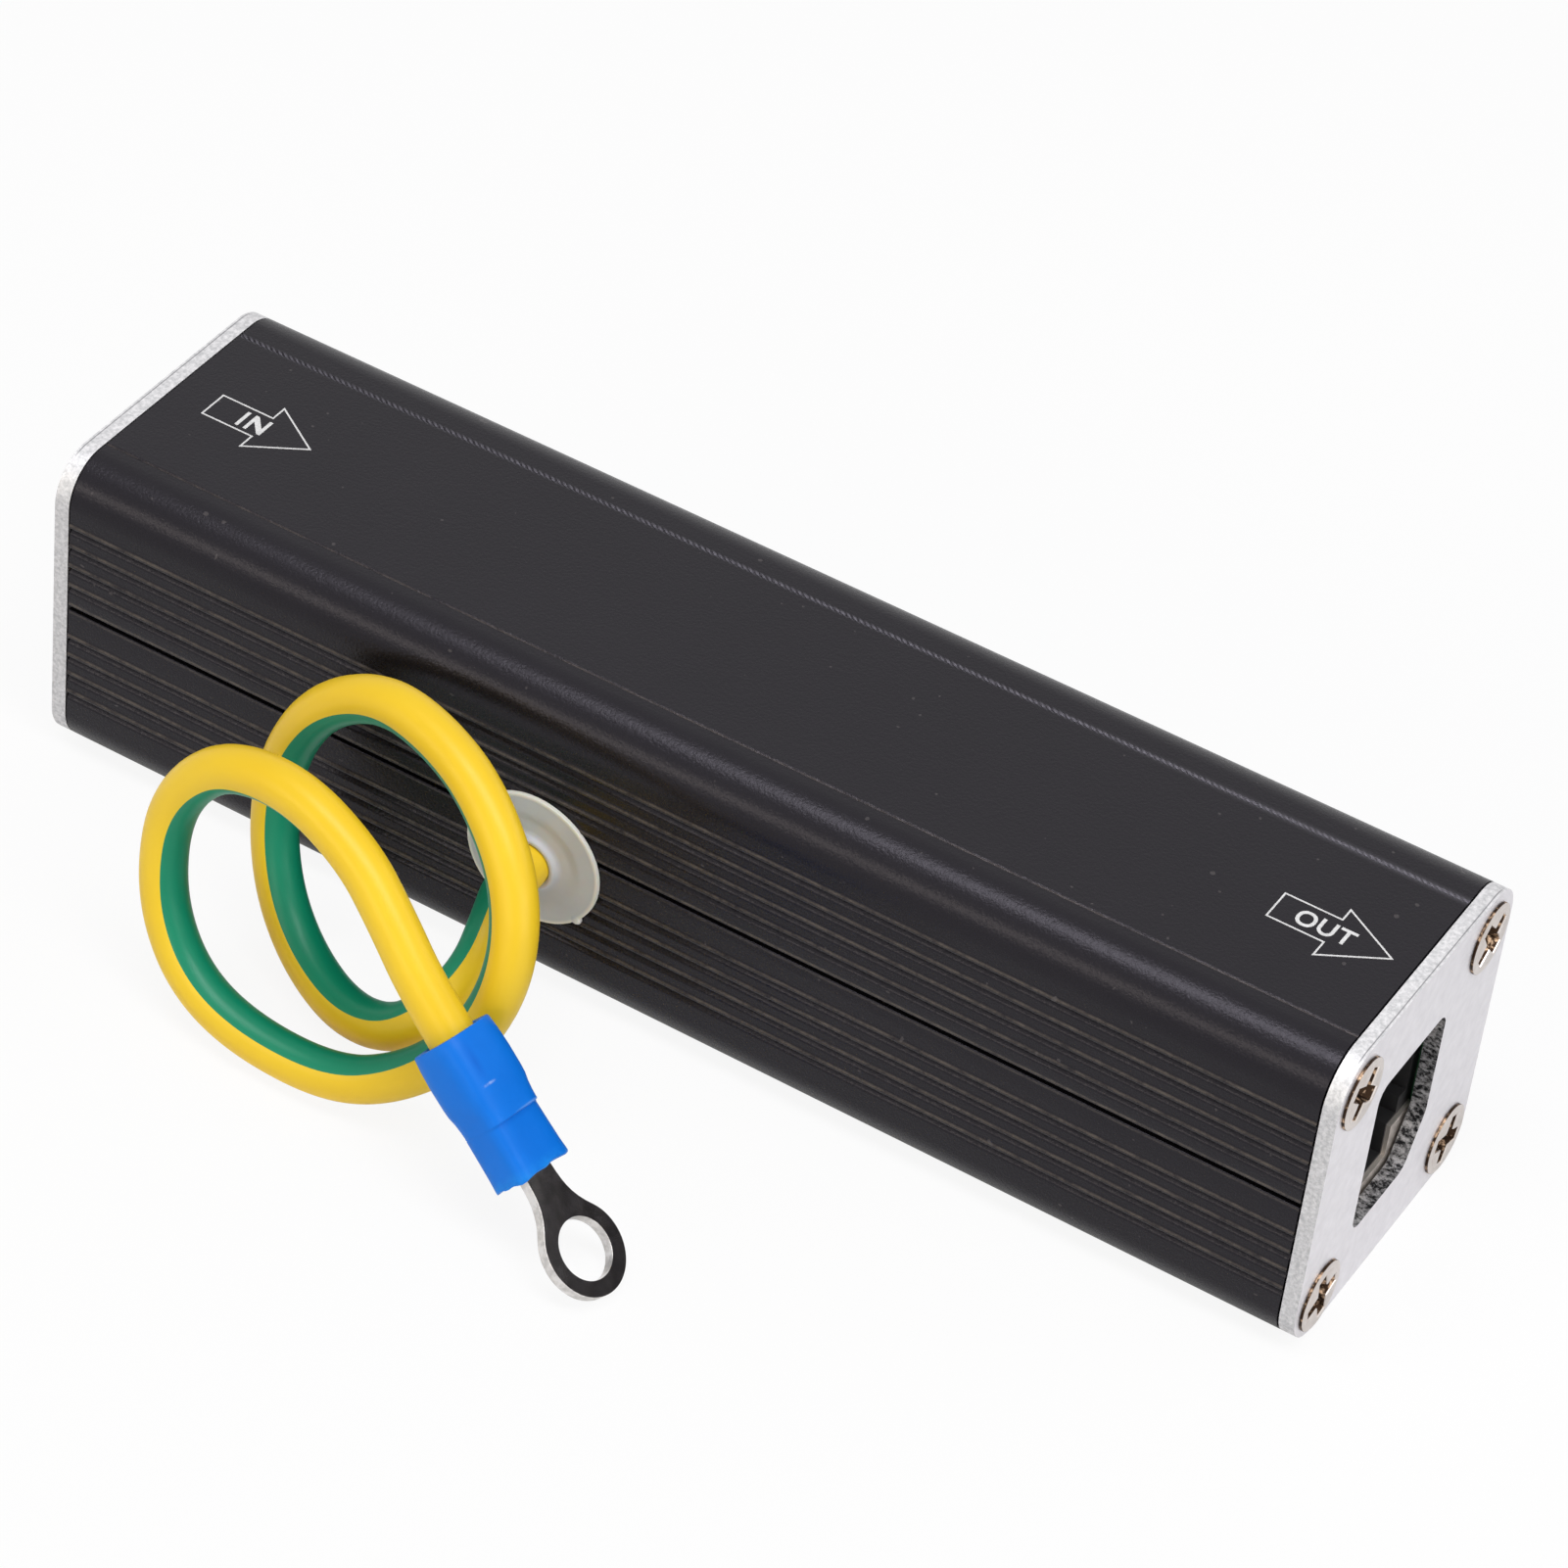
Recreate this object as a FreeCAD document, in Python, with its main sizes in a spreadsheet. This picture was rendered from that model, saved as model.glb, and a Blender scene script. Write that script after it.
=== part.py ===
import FreeCAD, Part
import math
import os
import re
import Sketcher
from FreeCAD import Placement, Rotation, Vector

# Ethernet surge protector: a black two-shell aluminium housing closed by two screwed end plates,
# a circuit board on edge between two shielded sockets, and a short earth wire with a ring terminal.
# Millimetres. X runs from the IN end (-) to the OUT end (+), the earth wire leaves the -Y side,
# and Z = 0 is the face the housing stands on.

doc = FreeCAD.newDocument("EthernetSurgeProtector")
sizes = doc.addObject("Spreadsheet::Sheet", "Sizes")

DIMENSIONS = [
    # housing section
    ("shell_length", 100.0, "length of both extruded shells"),
    ("shell_width", 25.4, "outside width"),
    ("shell_height", 25.6, "outside height of the closed pair"),
    ("wall", 1.5, "extruded wall"),
    ("corner_radius", 3.5, "outside radius along the four long edges"),
    ("seam_height", 13.4, "middle of the joint line between the shells"),
    ("seam_gap", 0.4, "open joint line"),
    ("tongue_thick", 0.7, "tongue of the lower shell, on the inside half of the wall"),
    ("tongue_height", 1.1, "tongue above the joint line"),
    ("fit_gap", 0.05, "clearance between pieces that slide together"),
    # reeded sides and the two drawn lines on the top
    ("reed_pitch", 1.7, "spacing of the grooves between the reeds"),
    ("reed_width", 0.5, "width of each groove at the surface"),
    ("reed_depth", 0.3, "depth of each groove"),
    ("reed_below", 3.0, "highest groove of the lower shell, below the joint line"),
    ("reed_above", 1.8, "lowest groove of the upper shell, above the joint line"),
    ("band_low", 1.5, "plain band between the lowest groove and the bottom radius, at least"),
    ("band_high", 1.0, "plain band between the highest groove and the top radius, at least"),
    ("line_inset", 4.2, "die line on the top face, from the side"),
    ("line_width", 0.3, "width of the die line"),
    ("line_depth", 0.12, "depth of the die line"),
    # screw ports in the four corners
    ("port_inset", 3.4, "screw centre from the side face"),
    ("port_rise", 3.15, "lower screws above the underside"),
    ("port_drop", 3.65, "upper screws below the top"),
    ("port_bore", 2.6, "bore that the thread forms itself in"),
    ("port_wall", 0.75, "wall round the bore"),
    ("port_slot", 1.0, "slot that opens the port to the inside"),
    # end plates
    ("plate_thick", 1.2, "end plate"),
    ("window_front", 5.5, "window edge in front of the plug's middle"),
    ("window_rear", 4.3, "window edge behind the plug's middle"),
    ("window_below", 6.7, "bottom edge of the window below the socket's middle"),
    ("window_above", 6.5, "top edge of the window above the socket's middle"),
    ("window_cut_y", 2.1, "cut lower rear corner, across"),
    ("window_cut_z", 3.9, "cut lower rear corner, up"),
    # countersunk screws
    ("screw_hole", 3.0, "clearance hole in the plate"),
    ("screw_head", 5.5, "countersunk head"),
    ("screw_rise", 0.3, "head above the plate's face"),
    ("screw_shank", 2.5, "thread, drawn at the bore that it forms"),
    ("screw_length", 8.3, "head and shank"),
    # circuit board, on edge along the rear side
    ("board_thick", 1.6, "board"),
    ("board_end_gap", 0.3, "board to end plate"),
    ("board_edge_gap", 0.25, "board edge to the shell"),
    ("rail_gap", 0.15, "board to its rail and to the rear ports"),
    ("rail_thick", 1.0, "rail in front of the board"),
    ("rail_clear", 1.4, "rails end clear of the sockets"),
    # sockets, turned on their side with the latch towards the board
    ("plug_stand", 5.5, "plug's middle in front of the board's face"),
    ("jack_drop", 0.3, "socket's middle below the housing's middle"),
    ("jack_setback", 0.2, "socket face to end plate"),
    ("jack_depth", 19.8, "shield, front to back"),
    ("jack_top", 7.1, "shield face in front of the plug's middle"),
    ("jack_width", 16.2, "shield, across the plug"),
    ("sheet", 0.3, "shield metal"),
    ("cavity_front", 5.2, "plug cavity, contact side"),
    ("cavity_rear", 1.8, "plug cavity, latch side"),
    ("cavity_width", 11.7, "plug cavity, across the plug"),
    ("cavity_depth", 13.4, "plug cavity, front to back"),
    ("latch_wide", 6.3, "wide step of the latch notch"),
    ("latch_wide_rear", 3.2, "rear face of the wide step"),
    ("latch_narrow", 3.4, "narrow step of the latch notch"),
    ("latch_narrow_rear", 4.2, "rear face of the narrow step"),
    ("notch_overlap", 0.5, "each step of the notch starts this far inside the one before"),
    ("window_play", 0.2, "shield window beyond the cavity"),
    ("divider", 1.2, "wall between plug cavity and wire chamber"),
    ("back_wall", 1.2, "rear wall of the wire chamber"),
    ("tab_width", 1.5, "shield tab"),
    ("tab_reach", 0.35, "shield tabs beyond the board, trimmed short beside the ports"),
    ("tab_slot_play", 0.25, "slot in the board beyond the tab, all round"),
    ("tab_first", 6.0, "front tab from the socket's face"),
    ("tab_second", 14.0, "rear tab from the socket's face"),
    ("contact_pitch", 1.02, "spacing of the eight contacts"),
    ("contact_thick", 0.35, "contact wire, in its bend plane"),
    ("contact_width", 0.45, "contact wire, across"),
    ("contact_slot", 0.6, "slot that guides a contact"),
    ("comb_lead", 1.4, "guide slots in front of the contacts' front bend"),
    ("contact_nose", 4.6, "front bend from the socket's face"),
    ("contact_tip", 11.6, "free end from the socket's face"),
    ("contact_drop", 3.0, "free end below the cavity's contact side"),
    ("contact_lane", 0.35, "contact's back from the cavity's contact side"),
    ("tail_place", 15.9, "tails from the socket's face"),
    ("tail_foot", 1.4, "foot of a tail, soldered to the board's face"),
    # parts on the board
    ("tube_square", 7.5, "square electrodes of a gas discharge tube, across"),
    ("tube_length", 9.5, "gas discharge tube"),
    ("tube_electrode", 1.2, "square electrode, along the tube"),
    ("tube_ceramic", 6.7, "square ceramic between the electrodes, across"),
    ("tube_clear", 2.75, "first tubes from the IN socket"),
    ("tube_past", 8.5, "middle of the other tubes past the earth wire"),
    ("array_length", 5.0, "diode array body"),
    ("array_width", 3.9, "diode array body"),
    ("array_height", 1.5, "diode array body"),
    ("array_lift", 0.1, "diode array body above the board"),
    ("array_leg", 0.4, "diode array leg, across"),
    ("array_leg_thick", 0.15, "diode array leg metal"),
    ("array_leg_reach", 1.2, "diode array legs beyond the body"),
    ("array_pitch", 1.27, "diode array leg spacing"),
    ("array_spread", 5.0, "diode arrays below and above the socket's middle"),
    ("chip_clear", 2.4, "chip resistors from the OUT socket"),
    ("chip_length", 3.2, "chip resistor"),
    ("chip_width", 1.6, "chip resistor"),
    ("chip_height", 0.6, "chip resistor"),
    ("chip_cap", 0.5, "chip resistor end cap"),
    ("chip_cap_rise", 0.05, "end cap above the chip's faces"),
    ("chip_column", 5.0, "spacing of the two columns of resistors"),
    ("chip_pitch", 3.0, "spacing of the resistors in a column"),
    # earth wire, grommet and ring terminal
    ("wire_exit", -10.0, "wire and grommet along the housing"),
    ("wire_height", 11.5, "wire and grommet above the base"),
    ("wire_diameter", 3.4, "insulated 2.5 mm2 earth wire"),
    ("core_diameter", 1.8, "bare stranded core"),
    ("grommet_flange", 10.8, "outer flange of the grommet"),
    ("grommet_rim", 0.5, "flange thickness"),
    ("grommet_stand", 0.5, "collar above the flange"),
    ("grommet_collar", 4.4, "collar round the wire"),
    ("grommet_neck", 7.0, "neck through the wall"),
    ("grommet_lip", 8.4, "lip behind the wall"),
    ("grommet_lip_thick", 0.9, "lip thickness"),
    ("sleeve_length", 10.6, "insulating sleeve of the terminal"),
    ("sleeve_width", 5.5, "sleeve across, at the mouth"),
    ("sleeve_height", 4.9, "sleeve through, at the mouth"),
    ("sleeve_waist", 4.6, "sleeve across, at the crimp"),
    ("sleeve_crimp", 2.2, "length that the crimp presses narrow"),
    ("sleeve_mouth", 4.2, "round mouth in front of the crimp"),
    ("sleeve_flat", 3.7, "sleeve through, at the ring end"),
    ("sleeve_start", 3.2, "sleeve mouth past the last bend of the wire"),
    ("barrel_bore", 1.9, "crimped barrel, inside"),
    ("barrel_wall", 0.75, "crimped barrel, wall"),
    ("barrel_end", 0.8, "barrel beyond the core's end, pressed shut on the tongue"),
    ("ring_thick", 0.8, "tongue and ring"),
    ("ring_outer", 6.8, "ring across"),
    ("ring_hole", 4.5, "hole for an M4 screw"),
    ("ring_reach", 6.1, "sleeve end to the hole's centre"),
    ("neck_width", 2.6, "tongue where it leaves the sleeve"),
]

# Middle line of the earth wire from its solder joint to inside the terminal's sleeve. The two
# turns stand on the bench beside the housing, as the wire's own stiffness holds them.
ROUTE = [
    (-11.5, 2.0, 12.5), (-11.5, -2.5, 12.5), (-10.0, -7.5, 11.5), (-10.0, -16.0, 11.5),
    (-8.5, -20.0, 11.5), (-8.0, -23.0, 9.5), (-9.5, -25.5, 6.5), (-12.5, -26.0, 3.5),
    (-17.0, -25.0, 2.0), (-22.5, -22.5, 2.5), (-26.0, -20.5, 5.5), (-28.0, -18.5, 10.5),
    (-27.5, -17.5, 16.0), (-24.5, -17.5, 21.5), (-19.5, -18.0, 25.0), (-14.0, -19.5, 25.5),
    (-9.0, -21.5, 24.0), (-4.5, -24.0, 20.0), (-3.0, -26.5, 14.5), (-4.5, -28.5, 9.0),
    (-8.5, -30.0, 4.5), (-13.5, -31.0, 2.0), (-21.0, -31.0, 2.0), (-26.5, -30.0, 3.5),
    (-30.0, -28.5, 7.5), (-31.0, -27.0, 13.0), (-29.5, -26.5, 17.5), (-26.0, -26.5, 21.0),
    (-20.0, -27.5, 22.5), (-14.0, -29.0, 21.0), (-10.0, -30.5, 18.5), (-6.0, -32.0, 15.0),
    (-0.5, -33.0, 10.7),
]

for row, (alias, value, note) in enumerate(DIMENSIONS, start=1):
    sizes.set(f"A{row}", alias)
    sizes.set(f"B{row}", str(value))
    sizes.set(f"C{row}", note)
    sizes.setAlias(f"B{row}", alias)
doc.recompute()

ALIASES = re.compile(r"\b(" + "|".join(alias for alias, value, note in DIMENSIONS) + r")\b")
nodes = []


def bound(text):
    """Expression text with each size read from the sheet."""
    return ALIASES.sub(r"Sizes.\1", text)


def bind(thing, **properties):
    """Tie properties of an object to expressions on the sheet."""
    for name, text in properties.items():
        thing.setExpression(name, bound(text))


def node(thing, label):
    """Give a finished sub-part its name and list it for export."""
    thing.Label = label
    nodes.append(thing)
    return thing


def new_body(name):
    return doc.addObject("PartDesign::Body", name + "_body")


def origin_plane(body, role):
    return next(item for item in body.Origin.OriginFeatures if item.Role == role)


def new_sketch(body, name, role, offset="0"):
    """Sketch on an origin plane of its body, moved along the plane's normal."""
    sketch = body.newObject("Sketcher::SketchObject", name)
    sketch.AttachmentSupport = [(origin_plane(body, role), "")]
    sketch.MapMode = "FlatFace"
    sketch.setExpression("AttachmentOffset.Base.z", bound(offset))
    return sketch


def place_point(sketch, geometry, position, across, up):
    """Dimension one point from the sketch's origin, both ways."""
    for kind, text in (("DistanceX", across), ("DistanceY", up)):
        index = sketch.addConstraint(Sketcher.Constraint(kind, -1, 1, geometry, position, 1.0))
        sketch.setExpression(f"Constraints[{index}]", bound(text))


def draw_polygon(sketch, corners):
    """Closed outline whose corners are (across, up) expressions."""
    count = len(corners)
    first = sketch.GeometryCount
    turn = [2 * math.pi * step / count for step in range(count)]
    spots = [Vector(10 * math.cos(angle), 10 * math.sin(angle), 0) for angle in turn]
    for step in range(count):
        sketch.addGeometry(Part.LineSegment(spots[step], spots[(step + 1) % count]), False)
    for step, (across, up) in enumerate(corners):
        place_point(sketch, first + step, 1, across, up)
        following = first + (step + 1) % count
        sketch.addConstraint(Sketcher.Constraint("Coincident", first + step, 2, following, 1))


def draw_box(sketch, left, right, low, high):
    draw_polygon(sketch, [(left, low), (right, low), (right, high), (left, high)])


def draw_circle(sketch, across, up, radius):
    circle = sketch.addGeometry(Part.Circle(Vector(0, 0, 0), Vector(0, 0, 1), 1.0), False)
    place_point(sketch, circle, 3, across, up)
    index = sketch.addConstraint(Sketcher.Constraint("Radius", circle, 1.0))
    sketch.setExpression(f"Constraints[{index}]", bound(radius))


def pad(body, sketch, length, both=False, back=False):
    feature = body.newObject("PartDesign::Pad", sketch.Name + "_pad")
    feature.Profile = sketch
    feature.Midplane = both
    feature.Reversed = back
    bind(feature, Length=length)
    return feature


def pocket(body, sketch, depth=None, both=False, back=False):
    """Cut along the sketch's normal when back is set, against it otherwise."""
    feature = body.newObject("PartDesign::Pocket", sketch.Name + "_pocket")
    feature.Profile = sketch
    feature.Midplane = both
    feature.Reversed = back
    bind(feature, Length=depth)
    return feature


def dress(body, kind, name, base, edges, **properties):
    """Fillet or chamfer on the named edges of the last feature."""
    feature = body.newObject("PartDesign::" + kind, name)
    feature.Base = (base, edges)
    bind(feature, **properties)
    return feature


def close(a, b):
    return abs(a - b) < 0.01


def long_edges(feature, side, height):
    """Names of the edges that run along X at a height and at either side or, with a sign, one."""
    doc.recompute()
    found = []
    for index, edge in enumerate(feature.Shape.Edges, start=1):
        ends = [vertex.Point for vertex in edge.Vertexes]
        if len(ends) == 2 and close(ends[0].y, ends[1].y) and close(ends[0].z, ends[1].z):
            if close(ends[0].z, height) and any(close(ends[0].y, place) for place in side):
                found.append(f"Edge{index}")
    return found


def cut_repeated(body, name, feature, direction, length, occurrences):
    pattern = body.newObject("PartDesign::LinearPattern", name)
    pattern.Originals = [feature]
    pattern.Direction = direction
    pattern.Occurrences = occurrences
    bind(pattern, Length=length)
    body.Tip = pattern
    return pattern


def mirrored_copy(source, label):
    """The same piece at the IN end."""
    copy = doc.addObject("Part::Mirroring", label)
    copy.Source = source
    copy.Base = Vector(0, 0, 0)
    copy.Normal = Vector(1, 0, 0)
    return node(copy, label)


def turned_copy(source, label):
    """The same socket piece at the IN end, turned round about the board's normal."""
    copy = doc.addObject("Part::Compound", label)
    copy.Links = [source]
    copy.Placement = Placement(Vector(0, 0, 0), Rotation(Vector(0, 1, 0), 180))
    copy.setExpression("Placement.Base.z", bound(f"2 * {JACK}"))
    return node(copy, label)


def shaped(label, shape):
    """Sub-part whose form is made with direct geometry."""
    thing = doc.addObject("Part::Feature", label)
    thing.Shape = shape
    return node(thing, label)


# Places that several pieces share, as expressions and as numbers

HALF = "shell_width / 2"
INSIDE = "(shell_width / 2 - wall)"
PORT_REACH = "(port_bore / 2 + port_wall)"
PORT_SIDE = "(shell_width / 2 - port_inset)"
PORT_HIGH = "(shell_height - port_drop)"
JACK = "(shell_height / 2 - jack_drop)"
BOARD = f"({PORT_SIDE} - {PORT_REACH} - rail_gap - board_thick)"
MIDDLE = f"({BOARD} - plug_stand)"

port_reach = sizes.port_bore / 2 + sizes.port_wall
port_side = sizes.shell_width / 2 - sizes.port_inset
port_high = sizes.shell_height - sizes.port_drop
jack_height = sizes.shell_height / 2 - sizes.jack_drop
board_face = port_side - port_reach - sizes.rail_gap - sizes.board_thick
plug_middle = board_face - sizes.plug_stand
bay_end = sizes.shell_length / 2 - sizes.jack_setback - sizes.jack_depth


# Shells

def reed_rows(room):
    """How many grooves fit at their pitch in a stretch of the side."""
    return max(0, 1 + math.floor(room / sizes.reed_pitch))


def make_shell(label, upper):
    """One extruded half of the housing; heights run inwards from its outer face."""
    body = new_body(label)

    def level(depth):
        return f"shell_height - ({depth})" if upper else depth

    seam = "seam_height + seam_gap / 2" if upper else "seam_height - seam_gap / 2"
    tongue_top = "seam_height - seam_gap / 2 + tongue_height"
    far = f"{tongue_top} + fit_gap" if upper else tongue_top
    port = PORT_HIGH if upper else "port_rise"
    port_edge = f"{PORT_HIGH} - {PORT_REACH}" if upper else f"port_rise + {PORT_REACH}"
    outer = sizes.shell_height if upper else 0.0

    section = new_sketch(body, label + "_section", "YZ_Plane")
    draw_box(section, f"-{HALF}", HALF, seam if upper else level("0"), level("0") if upper else far)
    block = pad(body, section, "shell_length", both=True)
    sides = (-sizes.shell_width / 2, sizes.shell_width / 2)
    dress(body, "Fillet", label + "_corners", block, long_edges(block, sides, outer), Radius="corner_radius")

    channel = new_sketch(body, label + "_channel", "YZ_Plane")
    draw_box(channel, f"-{INSIDE}", INSIDE, "seam_height - tongue_height - 2" if upper else level("wall"),
             level("wall") if upper else "seam_height + tongue_height + 2")
    pocket(body, channel, "shell_length + 2", both=True)

    # Tongue of the lower shell and the rebate of the upper one that it slides into.
    for side in ("-", ""):
        inner = f"{side}({INSIDE} - 1)"
        step = f"{side}({INSIDE} + tongue_thick + fit_gap)" if upper else f"{side}({INSIDE} + tongue_thick)"
        outside = f"{side}({HALF} + 1)"
        rebate = new_sketch(body, label + ("_rebate_front" if side else "_rebate_rear"), "YZ_Plane")
        if upper:
            draw_box(rebate, inner, step, f"{seam} - 1", far)
        else:
            draw_box(rebate, step, outside, seam, f"{far} + 1")
        pocket(body, rebate, "shell_length + 2", both=True)

    # Corner ports: a block filling the corner, rounded inwards, bored and slotted.
    for side in ("-", ""):
        name = label + ("_port_front" if side else "_port_rear")
        corner = new_sketch(body, name, "YZ_Plane")
        inner = f"{side}({PORT_SIDE} - {PORT_REACH})"
        outside = f"{side}({HALF} - wall / 2)"
        draw_box(corner, inner, outside, port_edge, level("wall / 2"))
        feature = pad(body, corner, "shell_length", both=True)
        port_y = (port_side - port_reach) * (-1 if side else 1)
        port_z = port_high - port_reach if upper else sizes.port_rise + port_reach
        nose = long_edges(feature, (port_y,), port_z)
        dress(body, "Fillet", name + "_nose", feature, nose, Radius=f"{PORT_REACH} * 0.9")
        bore = new_sketch(body, name + "_bore", "YZ_Plane")
        draw_circle(bore, f"{side}{PORT_SIDE}", port, "port_bore / 2")
        pocket(body, bore, "shell_length + 2", both=True)
        slot = new_sketch(body, name + "_slot", "YZ_Plane")
        mouth = f"{port_edge} - 1" if upper else f"{port_edge} + 1"
        draw_box(slot, f"{side}{PORT_SIDE} - port_slot / 2", f"{side}{PORT_SIDE} + port_slot / 2", port, mouth)
        pocket(body, slot, "shell_length + 2", both=True)

    # Rail that holds the board against the rear ports.
    rail = new_sketch(body, label + "_rail", "YZ_Plane")
    rail_edge = f"{JACK} {'+' if upper else '-'} (jack_width / 2 + rail_clear)"
    draw_box(rail, f"{BOARD} - rail_gap - rail_thick", f"{BOARD} - rail_gap", level("wall / 2"), rail_edge)
    pad(body, rail, "shell_length", both=True)

    # Round hole for the grommet, shared by both shells across the joint line.
    hole = new_sketch(body, label + "_grommet_hole", "XZ_Plane")
    draw_circle(hole, "wire_exit", "wire_height", "grommet_neck / 2 + fit_gap")
    pocket(body, hole, "shell_width", back=True)

    # Reeds: straight grooves along both sides.
    if upper:
        count = reed_rows(outer - sizes.corner_radius - sizes.band_high - sizes.seam_height - sizes.reed_above)
        first = "seam_height + reed_above"
    else:
        count = reed_rows(sizes.seam_height - sizes.reed_below - sizes.corner_radius - sizes.band_low)
        first = f"seam_height - reed_below - {count - 1} * reed_pitch"
    for side in ("-", "") if count else ():
        reed = new_sketch(body, label + ("_reed_front" if side else "_reed_rear"), "YZ_Plane")
        draw_polygon(reed, [(f"{side}({HALF} - reed_depth)", first),
                            (f"{side}({HALF} + reed_depth)", f"{first} - reed_width"),
                            (f"{side}({HALF} + reed_depth)", f"{first} + reed_width")])
        groove = pocket(body, reed, "shell_length + 2", both=True)
        if count > 1:
            cut_repeated(body, reed.Name + "_row", groove, (reed, ["V_Axis"]),
                         f"reed_pitch * {count - 1}", count)

    if upper:
        for side in ("-", ""):
            line = new_sketch(body, label + ("_line_front" if side else "_line_rear"), "YZ_Plane")
            place = f"{side}({HALF} - line_inset)"
            draw_polygon(line, [(place, "shell_height - line_depth"),
                                (f"{place} - line_width", "shell_height + line_depth"),
                                (f"{place} + line_width", "shell_height + line_depth")])
            pocket(body, line, "shell_length + 2", both=True)
    return node(body, label)


make_shell("lower_shell", upper=False)
make_shell("upper_shell", upper=True)


# End plates

def make_end_plate():
    body = new_body("end_plate_out")
    face = "shell_length / 2"
    outline = new_sketch(body, "plate_outline", "YZ_Plane", face)
    draw_box(outline, f"-{HALF}", HALF, "0", "shell_height")
    blank = pad(body, outline, "plate_thick")
    sides = (-sizes.shell_width / 2, sizes.shell_width / 2)
    corners = long_edges(blank, sides, 0) + long_edges(blank, sides, sizes.shell_height)
    dress(body, "Fillet", "plate_corners", blank, corners, Radius="corner_radius")

    window = new_sketch(body, "plate_window", "YZ_Plane", face)
    near, far = f"{MIDDLE} - window_front", f"{MIDDLE} + window_rear"
    low, high = f"{JACK} - window_below", f"{JACK} + window_above"
    draw_polygon(window, [(near, low), (f"{far} - window_cut_y", low), (far, f"{low} + window_cut_z"),
                          (far, high), (near, high)])
    pocket(body, window, "plate_thick + 1", back=True)

    holes = new_sketch(body, "plate_holes", "YZ_Plane", face)
    for across in ("-" + PORT_SIDE, PORT_SIDE):
        for up in ("port_rise", PORT_HIGH):
            draw_circle(holes, across, up, "screw_hole / 2")
    drilled = pocket(body, holes, "plate_thick + 1", back=True)
    doc.recompute()
    outside = sizes.shell_length / 2 + sizes.plate_thick
    rims = []
    for index, edge in enumerate(drilled.Shape.Edges, start=1):
        round_edge = isinstance(edge.Curve, Part.Circle) and close(edge.Curve.Radius, sizes.screw_hole / 2)
        if round_edge and close(edge.Curve.Center.x, outside):
            rims.append(f"Edge{index}")
    dress(body, "Chamfer", "plate_countersinks", drilled, rims, Size="(screw_head - screw_hole) / 2 - screw_rise")
    return node(body, "end_plate_out")


plate = make_end_plate()
mirrored_copy(plate, "end_plate_in")


# Countersunk screws

def make_screw():
    """One screw on the X axis, the plate's outer face at x = 0."""
    body = new_body("screw")
    profile = new_sketch(body, "screw_profile", "XZ_Plane")
    tip = "screw_rise - screw_length"
    draw_polygon(profile, [("screw_rise", "0"), ("screw_rise", "screw_head / 2"),
                           ("screw_rise - (screw_head - screw_shank) / 2", "screw_shank / 2"),
                           (tip, "screw_shank / 2"), (tip, "0")])
    turned = body.newObject("PartDesign::Revolution", "screw_turned")
    turned.Profile = profile
    turned.ReferenceAxis = (profile, ["H_Axis"])
    turned.Angle = 360
    return body


screw = make_screw()
doc.recompute()


def screw_set():
    """Four screws at the OUT end, one in each corner port."""
    outside = sizes.shell_length / 2 + sizes.plate_thick
    copies = []
    for across in (-port_side, port_side):
        for up in (sizes.port_rise, port_high):
            copies.append(screw.Shape.translated(Vector(outside, across, up)))
    return Part.makeCompound(copies)


screws = shaped("end_screws_out", screw_set())
mirrored_copy(screws, "end_screws_in")


# Sockets

FACE = "(shell_length / 2 - jack_setback)"
HOUSING_FACE = f"({FACE} - sheet)"
HOUSING_DEPTH = "(jack_depth - 2 * sheet)"


def make_jack_housing():
    """Black moulded body, open at the front for the plug and below for its wires."""
    body = new_body("jack_out_housing")
    block = new_sketch(body, "housing_block", "YZ_Plane", HOUSING_FACE)
    half = "(jack_width / 2 - sheet)"
    draw_box(block, f"{MIDDLE} - jack_top + sheet", BOARD, f"{JACK} - {half}", f"{JACK} + {half}")
    pad(body, block, HOUSING_DEPTH, back=True)

    # Plug cavity with the two steps of the latch notch.
    steps = [("cavity_width", "- cavity_front", "cavity_rear"),
             ("latch_wide", "+ cavity_rear - notch_overlap", "latch_wide_rear"),
             ("latch_narrow", "+ latch_wide_rear - notch_overlap", "latch_narrow_rear")]
    for index, (width, front, rear) in enumerate(steps):
        cavity = new_sketch(body, f"housing_cavity_{index}", "YZ_Plane", HOUSING_FACE)
        draw_box(cavity, f"{MIDDLE} {front}", f"{MIDDLE} + {rear}", f"{JACK} - {width} / 2",
                 f"{JACK} + {width} / 2")
        pocket(body, cavity, "cavity_depth")

    # Chamber behind the cavity where the contacts turn down to the board.
    chamber = new_sketch(body, "housing_chamber", "YZ_Plane", f"{HOUSING_FACE} - cavity_depth - divider")
    lane = f"{MIDDLE} - cavity_front - contact_lane - contact_thick"
    draw_box(chamber, lane, f"{BOARD} + 1", f"{JACK} - cavity_width / 2", f"{JACK} + cavity_width / 2")
    pocket(body, chamber, f"{HOUSING_DEPTH} - cavity_depth - divider - back_wall")

    # Comb of slots that spaces the contacts.
    comb = new_sketch(body, "housing_comb", "YZ_Plane", f"{HOUSING_FACE} - contact_nose + comb_lead")
    first = f"{JACK} - 3.5 * contact_pitch"
    draw_box(comb, lane, f"{MIDDLE} - cavity_front + contact_drop",
             f"{first} - contact_slot / 2", f"{first} + contact_slot / 2")
    slot = pocket(body, comb, "cavity_depth + divider - contact_nose + comb_lead + fit_gap")
    cut_repeated(body, "housing_comb_row", slot, (comb, ["V_Axis"]), "contact_pitch * 7", 8)
    return node(body, "jack_out_housing")


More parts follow.
